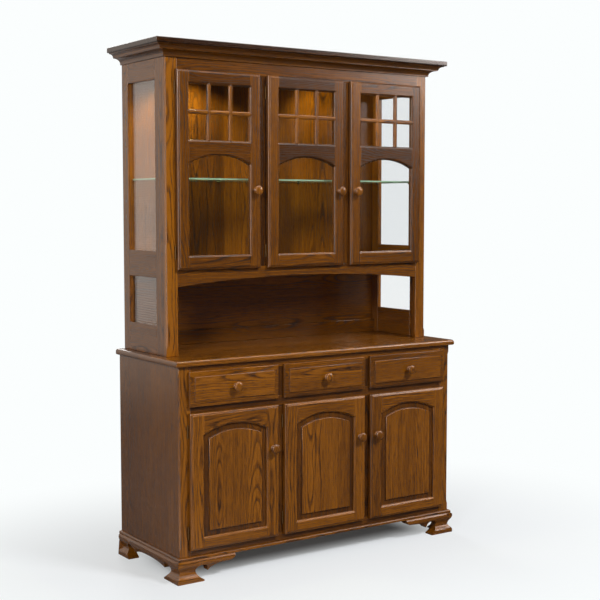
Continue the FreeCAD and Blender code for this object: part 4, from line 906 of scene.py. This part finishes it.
def seen_directly(tree, rays):
    """1 for what the camera sees, also through glass."""
    return calc(tree, "MAXIMUM", rays["Is Camera Ray"], rays["Is Transmission Ray"])


def dress_node(node, material):
    """Gives a CAD node its own material."""
    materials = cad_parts[node].data.materials
    materials.clear()
    materials.append(material)


class BUFFET_OT_finishes(bpy.types.Operator):
    """Makes the oak, drawer wood, glass, metal and lens materials."""
    bl_idname = "buffet.finishes"
    bl_label = "Finishes"

    def execute(self, context):
        oak = context.scene.oak_finish
        FINISHES["oak"] = wood_material("stained_oak", (oak.light, oak.mid, oak.dark), oak.ring, oak.plank)
        FINISHES["drawer"] = wood_material(
            "drawer_wood", DRAWER_COLOURS, oak.ring, oak.plank, shine=0.5, contrast=0.6)
        FINISHES["glass"] = glass_material("window_glass", tint=(0.985, 0.99, 0.995))
        FINISHES["side_glass"] = glass_material(
            "side_window_glass", tint=(0.99, 0.994, 0.997), share=1.3, ripple=0.17)
        FINISHES["shelf"] = glass_material("shelf_glass", tint=(0.93, 0.97, 0.94), edge=(0.30, 0.46, 0.30))
        FINISHES["brass"] = metal_material(
            "antique_brass", bright=(0.15, 0.085, 0.035), dull=(0.07, 0.04, 0.018), shine=0.42)
        FINISHES["bronze"] = metal_material(
            "lamp_bronze", bright=(0.10, 0.075, 0.05), dull=(0.05, 0.038, 0.028), shine=0.35)
        FINISHES["lens"] = lens_material("lamp_lens", colour=(1.0, 0.78, 0.45), strength=14.0)
        return {"FINISHED"}


class BUFFET_OT_case(bpy.types.Operator):
    """Buffet sides, partitions, back, bottom, shelves and drawer runners."""
    bl_idname = "buffet.case"
    bl_label = "Buffet case"

    def execute(self, context):
        # The sides take painted shade, as they get less light.
        plain_boards("base_sides", grain_axes=SIDE_BOARD_GRAIN, tone=CASE_PAINTED_SHADE)
        plain_boards("base_partitions", grain_axes=SIDE_BOARD_GRAIN)
        plain_boards("base_back", grain_axes=GRAIN_Z)
        plain_boards("base_bottom")
        plain_boards("base_shelves")
        plain_boards("drawer_runners", "drawer")
        return {"FINISHED"}


def bevelled_stile(timber, low, high):
    """An end stile: a section carried upwards, whose outer front corner is cut back by a bevel that fades out
    at both ends. A row is a height; a column is a place in from the outer edge and back from the face."""
    rise = np.array((0, STILE_EASE, BEVEL_STOP, BEVEL_STOP + BEVEL_FADE))
    height = np.concatenate((low[2] + rise, high[2] - rise[::-1]))
    cut = np.array((0, 0, 0, 1, 1, 0, 0, 0)) * STILE_BEVEL + STILE_EASE
    shrink = np.array((1, 0, 0, 0, 0, 0, 0, 1)) * STILE_EASE
    eased = np.full_like(cut, STILE_EASE)
    shoulder = cut * BEVEL_SHOULDER_SHARE
    wide, thick, _ = high - low
    flat_end = np.full_like(cut, wide - STILE_SHOULDER)
    inward = (shrink, shrink, shrink, cut, shoulder, flat_end, wide - eased, wide - shrink, wide - shrink)
    back = (thick - shrink, shoulder + shrink, cut, shrink, shrink, shrink, shrink, eased, thick - shrink)
    inward, back = np.stack(inward, axis=1), np.stack(back, axis=1)
    x = low[0] + inward if low[0] < 0 else high[0] - inward
    points = np.stack((x, low[1] + back, np.broadcast_to(height[:, None], x.shape)), axis=-1)
    timber.add(points.reshape(-1, 3), tube_faces(*x.shape), GRAIN_Z)


class BUFFET_OT_face_frames(bpy.types.Operator):
    """Face frames of the buffet and the hutch: bevelled end stiles, uprights, rails and the arched rail."""
    bl_idname = "buffet.face_frames"
    bl_label = "Face frames"

    def execute(self, context):
        ease = context.scene.oak_finish.ease
        for node in ("base_stiles", "hutch_stiles"):
            timber = Timber(f"{node}_boards")
            boxes = solids(node)
            reach = max(high[0] for low, high in boxes)
            for low, high in boxes:
                if max(-low[0], high[0]) > reach - MM:
                    bevelled_stile(timber, low, high)
                else:
                    # Uprights between the doors take painted shade, as they lie in the shadow of the doors.
                    add_boards(timber, [(low, high)], ease, GRAIN_Z, UPRIGHT_PAINTED_SHADE)
            timber.piece(node)
        # The rails between drawers and doors take painted shade, as they lie in the shadow of the drawers.
        plain_boards("base_rails", tone=BASE_RAIL_PAINTED_SHADE)
        timber = Timber("hutch_rails_boards")
        (low, high), top = sorted(solids("hutch_rails"), key=lambda box: box[0][2])
        # The top rail is partly a darker stain and partly painted shade.
        add_boards(timber, [top], ease, tone=RAIL_STAIN_AND_PAINTED_SHADE)
        bow = arch(0.0, (high[0] - low[0]) / 2, NICHE_RISE, low[2] + NICHE_RISE)
        # The niche arch takes painted shade.
        moulded_member(timber, False, (low[0], high[0]), (bow, flat(high[2])), (NICHE_EDGE, NICHE_EDGE),
                       BUTT_ENDS, (low[1], high[1]), bend=NICHE_BEND, tone=STILE_PAINTED_SHADE)
        timber.piece("hutch_rails")
        return {"FINISHED"}


class BUFFET_OT_counter(bpy.types.Operator):
    """Counter board: rectangles drawn in by its rounded edge along the front and the sides."""
    bl_idname = "buffet.counter"
    bl_label = "Counter"

    def execute(self, context):
        low, high = node_box("counter_top")
        table = np.array(COUNTER_EDGE) * MM
        inset, level = table[:, :1], table[:, 1:]
        left, right, front = low[0] + inset, high[0] - inset, low[1] + inset
        rear = np.full_like(inset, high[1])
        x = np.concatenate((left, right, right, left), axis=1)
        y = np.concatenate((front, front, rear, rear), axis=1)
        points = np.stack((x, y, np.broadcast_to(low[2] + level, x.shape)), axis=-1)
        # The counter takes painted shade, as the hutch shades it.
        timber = Timber("counter_board", STILE_PAINTED_SHADE)
        timber.add(points.reshape(-1, 3), tube_faces(*x.shape), COUNTER_GRAIN)
        timber.piece("counter_top")
        return {"FINISHED"}


def platform(half, front, rear):
    """Platform moulding: three mitred runs and a plain rail along the rear."""
    low, high = node_box("platform_moulding")
    timber = Timber("platform_runs")
    three_runs(timber, PLATFORM_SECTION, half, front, rear, low[2])
    inner = half - REAR_RAIL_WIDE
    rail = ((-inner, rear - REAR_RAIL_WIDE, low[2]), (inner, rear, high[2]))
    add_boards(timber, [rail], REAR_RAIL_EASE)
    timber.piece("platform_moulding")


def front_place(hand, half, front):
    """Place in space of a front bracket's (along, out, up), with along running in from its corner."""
    return lambda along, out, up: np.stack((hand * (half - along), front - out, up), axis=-1)


def side_place(hand, half, front):
    """Place in space of a side board's (along, out, up), with along running back from its corner."""
    return lambda along, out, up: np.stack((hand * (half + out), front + along, up), axis=-1)


def bracket_feet(half, front, rear):
    """Ogee feet: a bracket at both front corners, a board with an apron along both sides, plain rear feet."""
    high = node_box("bracket_feet")[1]
    tall, deep = high[2], rear - front
    shares = np.linspace(0, 1, BRACKET_LEVELS)
    levels, swell = shares * tall, ogee(shares) * (high[0] - half)
    scale = np.array((BRACKET_LONG, tall))
    foot = foot_edge(scale)
    wing = three_point_arc(WING_ARC_SHARES, WING_POINTS, scale)[1:]
    bracket = np.concatenate((foot, wing, three_point_arc(TIP_ARC_SHARES, TIP_POINTS, scale)))
    spur = foot[-1]
    middle = np.array((deep / 2, APRON_SHARES[1] * tall))
    climb = np.array(((spur[0] + middle[0]) / 2, APRON_SHARES[0] * tall))
    near = np.concatenate((foot, three_point_arc((spur, climb, middle), APRON_POINTS)[1:]))
    far = near[::-1] * (-1, 1) + (deep, 0)
    side = np.concatenate((near, far[1:], ((deep, 0), (deep, tall))))
    timber = Timber("bracket_boards")
    for outline, place, grain_axes in ((bracket, front_place, GRAIN_X), (side, side_place, SIDE_RAIL_GRAIN)):
        for hand in (-1, 1):
            cut_board(timber, outline, levels, swell, place(hand, half, front), grain_axes)
    inner = half - BRACKET_INSIDE
    for start in (-inner, inner - REAR_FOOT_LONG):
        block = ((start, rear - REAR_FOOT_THICK, 0.0), (start + REAR_FOOT_LONG, rear, tall))
        add_boards(timber, [block], REAR_FOOT_EASE)
    timber.piece("bracket_feet")


class BUFFET_OT_feet(bpy.types.Operator):
    """Platform moulding and scroll-cut ogee bracket feet."""
    bl_idname = "buffet.feet"
    bl_label = "Feet"

    def execute(self, context):
        half, rear, _ = node_box("base_sides")[1]
        front = node_box("base_stiles")[0][1]
        platform(half, front, rear)
        bracket_feet(half, front, rear)
        return {"FINISHED"}


class BUFFET_OT_drawers(bpy.types.Operator):
    """Drawer fronts with a raised field, and their boxes."""
    bl_idname = "buffet.drawers"
    bl_label = "Drawers"

    def execute(self, context):
        for bay in BAYS:
            node, body = f"{bay}_drawer_front", f"{bay}_drawer"
            low, high = node_box(node)
            timber = Timber(f"{node}_board")
            outline = rectangle(low, high)
            ringed_field(timber, outline, DRAWER_FIELD, low[1], high[1], GRAIN_X, DRAWER_RECESS_PAINTED_SHADE)
            timber.piece(node, body)
            plain_boards(f"{bay}_drawer_box", "drawer", body, BOX_EASE)
        return {"FINISHED"}


def door_stiles(timber, box, sight, openings, tone=0.0):
    """Both stiles of a door, between its box and its sight edges, with a moulded edge along the openings."""
    low, high = box
    left, right = sight
    span, depths = (low[2], high[2]), (low[1], high[1])
    moulded_member(timber, True, span, (flat(low[0]), flat(left)), (DOOR_EDGE, STICKING), EDGE_ENDS, depths,
                   (EVERYWHERE, openings), tone=tone)
    moulded_member(timber, True, span, (flat(right), flat(high[0])), (STICKING, DOOR_EDGE), EDGE_ENDS, depths,
                   (openings, EVERYWHERE), tone=tone)


def door_arch(sight, crown):
    """Arched edge over a door's opening."""
    left, right = sight
    return arch((left + right) / 2, (right - left) / 2, DOOR_RISE, crown)


class BUFFET_OT_panel_doors(bpy.types.Operator):
    """Buffet doors: moulded stiles and rails round an arched raised panel."""
    bl_idname = "buffet.panel_doors"
    bl_label = "Panel doors"

    def execute(self, context):
        for bay in BAYS:
            node, panel, body = f"{bay}_door_frame", f"{bay}_door_panel", f"{bay}_panel_door"
            low, high = node_box(node)
            sight = (low[0] + PANEL_STILE, high[0] - PANEL_STILE)
            foot, crown = low[2] + PANEL_FOOT_RAIL, high[2] - PANEL_TOP_RAIL
            depths = (low[1], high[1])
            # Each base door takes its own painted shade, more towards the right.
            timber = Timber(f"{node}_boards", DOOR_PAINTED_SHADES[bay])
            door_stiles(timber, (low, high), sight, ((foot, crown - DOOR_RISE),))
            moulded_member(timber, False, sight, (flat(low[2]), flat(foot)), (DOOR_EDGE, STICKING), BUTT_ENDS,
                           depths)
            moulded_member(timber, False, sight, (door_arch(sight, crown), flat(high[2])),
                           (STICKING, DOOR_EDGE), BUTT_ENDS, depths, bend=DOOR_BEND)
            timber.piece(node, body)
            timber = Timber(f"{panel}_board", DOOR_PAINTED_SHADES[bay])
            outline = arched_outline(*sight, foot, crown, DOOR_RISE)
            back = node_box(panel)[1][1]
            ringed_field(timber, outline, PANEL_FIELD, low[1], back, GRAIN_Z, PANEL_RECESS_PAINTED_SHADE)
            timber.piece(panel, body)
        return {"FINISHED"}


def side_frames():
    """Sides of the hutch: each is two uprights and three rails round its panes, which stand in grooves."""
    timber = Timber("hutch_sides_boards")
    low, high = node_box("hutch_sides")
    panes = solids("hutch_side_glass")
    for left, hand in ((low[0], -1), (high[0] - SIDE_THICK, 1)):
        right = left + SIDE_THICK
        windows = [(foot + GROOVE_DEEP, head - GROOVE_DEEP) for foot, head in panes if foot[0] * hand > 0]
        windows.sort(key=lambda window: window[0][2])
        front, rear = windows[0][0][1], windows[0][1][1]
        uprights = [((left, near, low[2]), (right, far, high[2]))
                    for near, far in ((low[1], front), (rear, high[1]))]
        add_boards(timber, uprights, SIDE_EASE)
        feet = [low[2]] + [head[2] for foot, head in windows]
        heads = [foot[2] for foot, head in windows] + [high[2]]
        rails = [((left, front, foot), (right, rear, head)) for foot, head in zip(feet, heads)]
        add_boards(timber, rails, SIDE_EASE, SIDE_RAIL_GRAIN)
    timber.piece("hutch_sides")


class BUFFET_OT_hutch_case(bpy.types.Operator):
    """Hutch side frames, deck, top, backs and the low rail of the niche."""
    bl_idname = "buffet.hutch_case"
    bl_label = "Hutch case"

    def execute(self, context):
        side_frames()
        # The deck takes the darkest painted shade.
        plain_boards("hutch_deck", tone=CAP_PAINTED_SHADE)
        plain_boards("hutch_top")
        # The back inside the hutch takes painted shade.
        plain_boards("hutch_back", grain_axes=GRAIN_Z, tone=CASE_PAINTED_SHADE)
        plain_boards("niche_back")
        plain_boards("niche_low_rail")
        return {"FINISHED"}


class BUFFET_OT_crown(bpy.types.Operator):
    """Crown moulding and its cap board."""
    bl_idname = "buffet.crown"
    bl_label = "Crown"

    def execute(self, context):
        half, rear, _ = node_box("hutch_sides")[1]
        front = node_box("hutch_stiles")[0][1]
        foot = node_box("crown_moulding")[0][2]
        timber = Timber("crown_runs")
        # The crown takes painted shade.
        three_runs(timber, CROWN_SECTION, half, front, rear, foot, STILE_PAINTED_SHADE)
        timber.piece("crown_moulding")
        # The cap takes the darkest painted shade.
        plain_boards("crown_cap", ease=CAP_EASE, tone=CAP_PAINTED_SHADE)
        return {"FINISHED"}


def glazed_frame(bay):
    """A hutch door: stiles and rails round a tall arched light under two rows of small lights with bars."""
    node = f"{bay}_glazed_frame"
    low, high = node_box(node)
    left, right = low[0] + GLAZED_STILE, high[0] - GLAZED_STILE
    sight = (left, right)
    foot, lights_high = low[2] + GLAZED_FOOT_RAIL, high[2] - GLAZED_TOP_RAIL
    lights_low = lights_high - 2 * LIGHT_TALL - BAR_WIDE
    crown = lights_low - GLAZED_CROSS_RAIL
    bar_foot = lights_low + LIGHT_TALL
    rows = ((lights_low, bar_foot), (lights_high - LIGHT_TALL, lights_high))
    wide = (right - left - (LIGHT_COLUMNS - 1) * BAR_WIDE) / LIGHT_COLUMNS
    starts = [left + k * (wide + BAR_WIDE) for k in range(LIGHT_COLUMNS)]
    columns = tuple((start, start + wide) for start in starts)
    depths, bar_depths = (low[1], high[1]), (low[1], low[1] + BAR_THICK)
    timber = Timber(f"{node}_boards")
    # Painted shade on the stiles and the foot rail; the other rails are partly a darker stain and partly
    # painted shade.
    door_stiles(timber, (low, high), sight, ((foot, crown - DOOR_RISE), *rows), STILE_PAINTED_SHADE)
    moulded_member(timber, False, sight, (flat(lights_high), flat(high[2])), (STICKING, DOOR_EDGE), BUTT_ENDS,
                   depths, (columns, EVERYWHERE), tone=RAIL_STAIN_AND_PAINTED_SHADE)
    moulded_member(timber, False, sight, (door_arch(sight, crown), flat(lights_low)), (STICKING, STICKING),
                   BUTT_ENDS, depths, (EVERYWHERE, columns), DOOR_BEND, RAIL_STAIN_AND_PAINTED_SHADE)
    moulded_member(timber, False, sight, (flat(low[2]), flat(foot)), (DOOR_EDGE, STICKING), BUTT_ENDS, depths,
                   tone=STILE_PAINTED_SHADE)
    moulds = (BAR_EDGE, BAR_EDGE)
    for start, stop in columns[:-1]:
        edges = (flat(stop), flat(stop + BAR_WIDE))
        moulded_member(timber, True, (lights_low, lights_high), edges, moulds, BUTT_ENDS, bar_depths,
                       (rows, rows))
    for column in columns:
        edges = (flat(bar_foot), flat(bar_foot + BAR_WIDE))
        moulded_member(timber, False, column, edges, moulds, BUTT_ENDS, bar_depths)
    timber.piece(node, f"{bay}_glazed_door")


class BUFFET_OT_glazed_doors(bpy.types.Operator):
    """Hutch doors: moulded stiles, rails and glazing bars."""
    bl_idname = "buffet.glazed_doors"
    bl_label = "Glazed doors"

    def execute(self, context):
        for bay in BAYS:
            glazed_frame(bay)
        return {"FINISHED"}


class BUFFET_OT_knobs(bpy.types.Operator):
    """Turned knobs of the drawers and doors."""
    bl_idname = "buffet.knobs"
    bl_label = "Knobs"

    def execute(self, context):
        for bay in BAYS:
            for word, body in (("drawer", "drawer"), ("door", "panel_door"), ("glazed", "glazed_door")):
                node = f"{bay}_{word}_knob"
                low, high = node_box(node)
                centre = (low + high) / 2
                centre[1] = high[1]
                timber = Timber(f"{node}_turned")
                turned(timber, centre, KNOB_SECTION)
                timber.piece(node, f"{bay}_{body}")
        return {"FINISHED"}


class BUFFET_OT_glass_and_metal(bpy.types.Operator):
    """Panes, the glass shelf, hinges, pegs and lamps, each with its own finish."""
    bl_idname = "buffet.glass_and_metal"
    bl_label = "Glass and metal"

    def execute(self, context):
        dress_node("hutch_side_glass", FINISHES["side_glass"])
        dress_node("glass_shelf", FINISHES["shelf"])
        for bay in BAYS:
            dress_node(f"{bay}_door_glass", FINISHES["glass"])
            dress_node(f"{bay}_door_hinges", FINISHES["brass"])
            dress_node(f"{bay}_glazed_hinges", FINISHES["brass"])
        dress_node("hinge_frame_leaves", FINISHES["brass"])
        dress_node("shelf_pegs", FINISHES["brass"])
        dress_node("lamp_housings", FINISHES["bronze"])
        dress_node("lamp_lenses", FINISHES["lens"])
        return {"FINISHED"}


def aim(item, place, way):
    """Stands a camera or a light at a place, looking along a way."""
    item.location = place
    item.rotation_euler = Vector(way).to_track_quat("-Z", "Y").to_euler()


class BUFFET_OT_stage(bpy.types.Operator):
    """Camera, floor, white surroundings, studio lights and the light of the round lamps."""
    bl_idname = "buffet.stage"
    bl_label = "Stage"

    def execute(self, context):
        scene = context.scene
        look = scene.stage_look
        scene.view_settings.view_transform = "Standard"
        self.camera(scene)
        self.surroundings(scene)
        self.floor(look)
        self.studio_lights(look)
        self.cabinet_lights(look)
        return {"FINISHED"}

    def camera(self, scene):
        """The camera that took the photo's view: its way ahead comes from the yaw and the pitch."""
        item = linked_object("camera", bpy.data.cameras.new("camera"))
        item.data.sensor_width = SENSOR_WIDE
        item.data.lens = LENS
        item.data.clip_end = CLIP_END
        level = math.cos(CAMERA_PITCH)
        ahead = (math.sin(CAMERA_YAW) * level, math.cos(CAMERA_YAW) * level, math.sin(CAMERA_PITCH))
        aim(item, CAMERA_PLACE, ahead)
        scene.camera = item

    def surroundings(self, scene):
        """White to the camera and through glass; mirrors see a bright wall to the left, behind and above and
        a dim room elsewhere; a soft level of light comes from all round."""
        world = scene.world or bpy.data.worlds.new("studio")
        scene.world = world
        world.use_nodes = True
        tree = world.node_tree
        tree.nodes.clear()
        rays = add_node(tree, "ShaderNodeLightPath").outputs
        mirrored = rays["Is Glossy Ray"]
        way = weighted(tree, split(tree, coordinate(tree, "Generated")), WALL_WAY)
        wall = smoothed(tree, way, WALL_SPAN, WALL_LEVELS)
        level = calc(tree, "MULTIPLY_ADD", calc(tree, "SUBTRACT", wall, ROUND_LIGHT), mirrored, ROUND_LIGHT)
        level = calc(tree, "MAXIMUM", level, seen_directly(tree, rays))
        tint = mixed_colour(tree, mirrored, STUDIO_WHITE, MIRROR_WHITE)
        light = add_node(tree, "ShaderNodeBackground", {"Color": tint, "Strength": level})
        add_node(tree, "ShaderNodeOutputWorld", {"Surface": light.outputs[0]})

    def floor(self, look):
        """A flat square grid under the piece."""
        side = np.linspace(-FLOOR_REACH, FLOOR_REACH, FLOOR_POINTS)
        x, y = np.meshgrid(side, side)
        points = np.stack((x, y, np.zeros_like(x)), axis=-1).reshape(-1, 3)
        mesh = bpy.data.meshes.new("studio_floor")
        mesh.from_pydata(points, [], grid_faces(*x.shape))
        mesh.materials.append(floor_material("studio_floor", look.floor))
        item = linked_object("studio_floor", mesh)

    def studio_lights(self, look):
        """Soft rectangular lights; some are not met by one kind of ray."""
        for name, (place, target, size, share, colour, missed) in STUDIO_LIGHTS.items():
            light = bpy.data.lights.new(name, "AREA")
            light.shape = "RECTANGLE"
            light.size, light.size_y = size
            light.energy = look.studio_light * share
            light.color = colour
            item = linked_object(name, light)
            aim(item, place, Vector(target) - Vector(place))
            item.visible_glossy = missed != "glossy"
            item.visible_diffuse = missed != "diffuse"

    def cabinet_lights(self, look):
        """A cone of light from each round lamp's lens."""
        for (low, high), (way, share, cone, rim) in zip(solids("lamp_lenses"), CABINET_LIGHTS):
            light = bpy.data.lights.new("cabinet_light", "SPOT")
            light.spot_size = math.radians(cone)
            light.spot_blend = rim
            light.shadow_soft_size = (high[0] - low[0]) * LAMP_SOFT_SHARE
            light.energy = look.cabinet_light * share
            light.color = CABINET_COLOUR
            place = (low + high) / 2
            place[2] = low[2] - LAMP_DROP
            aim(linked_object("cabinet_light", light), place, way)


STEPS = (BUFFET_OT_finishes, BUFFET_OT_case, BUFFET_OT_face_frames, BUFFET_OT_counter, BUFFET_OT_feet,
         BUFFET_OT_drawers, BUFFET_OT_panel_doors, BUFFET_OT_hutch_case, BUFFET_OT_crown,
         BUFFET_OT_glazed_doors, BUFFET_OT_knobs, BUFFET_OT_glass_and_metal, BUFFET_OT_stage)


class VIEW3D_PT_buffet(bpy.types.Panel):
    """Lists the settings and the steps that build the buffet and hutch."""
    bl_idname = "VIEW3D_PT_buffet"
    bl_label = "Buffet and Hutch"
    bl_space_type = "VIEW_3D"
    bl_region_type = "UI"
    bl_category = "Buffet"

    def draw(self, context):
        column = self.layout.column()
        scene = context.scene
        for group, settings in ((OakFinish, scene.oak_finish), (StageLook, scene.stage_look)):
            for name in group.__annotations__:
                column.prop(settings, name)
        for step in STEPS:
            column.operator(step.bl_idname)


CLASSES = (OakFinish, StageLook) + STEPS + (VIEW3D_PT_buffet,)


def register():
    for item in CLASSES:
        bpy.utils.register_class(item)
    bpy.types.Scene.oak_finish = bpy.props.PointerProperty(type=OakFinish)
    bpy.types.Scene.stage_look = bpy.props.PointerProperty(type=StageLook)


def unregister():
    del bpy.types.Scene.stage_look
    del bpy.types.Scene.oak_finish
    for item in reversed(CLASSES):
        bpy.utils.unregister_class(item)


def main():
    """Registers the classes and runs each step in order."""
    register()
    for step in STEPS:
        group, name = step.bl_idname.split(".")
        getattr(getattr(bpy.ops, group), name)()


if __name__ == "__main__":
    main()
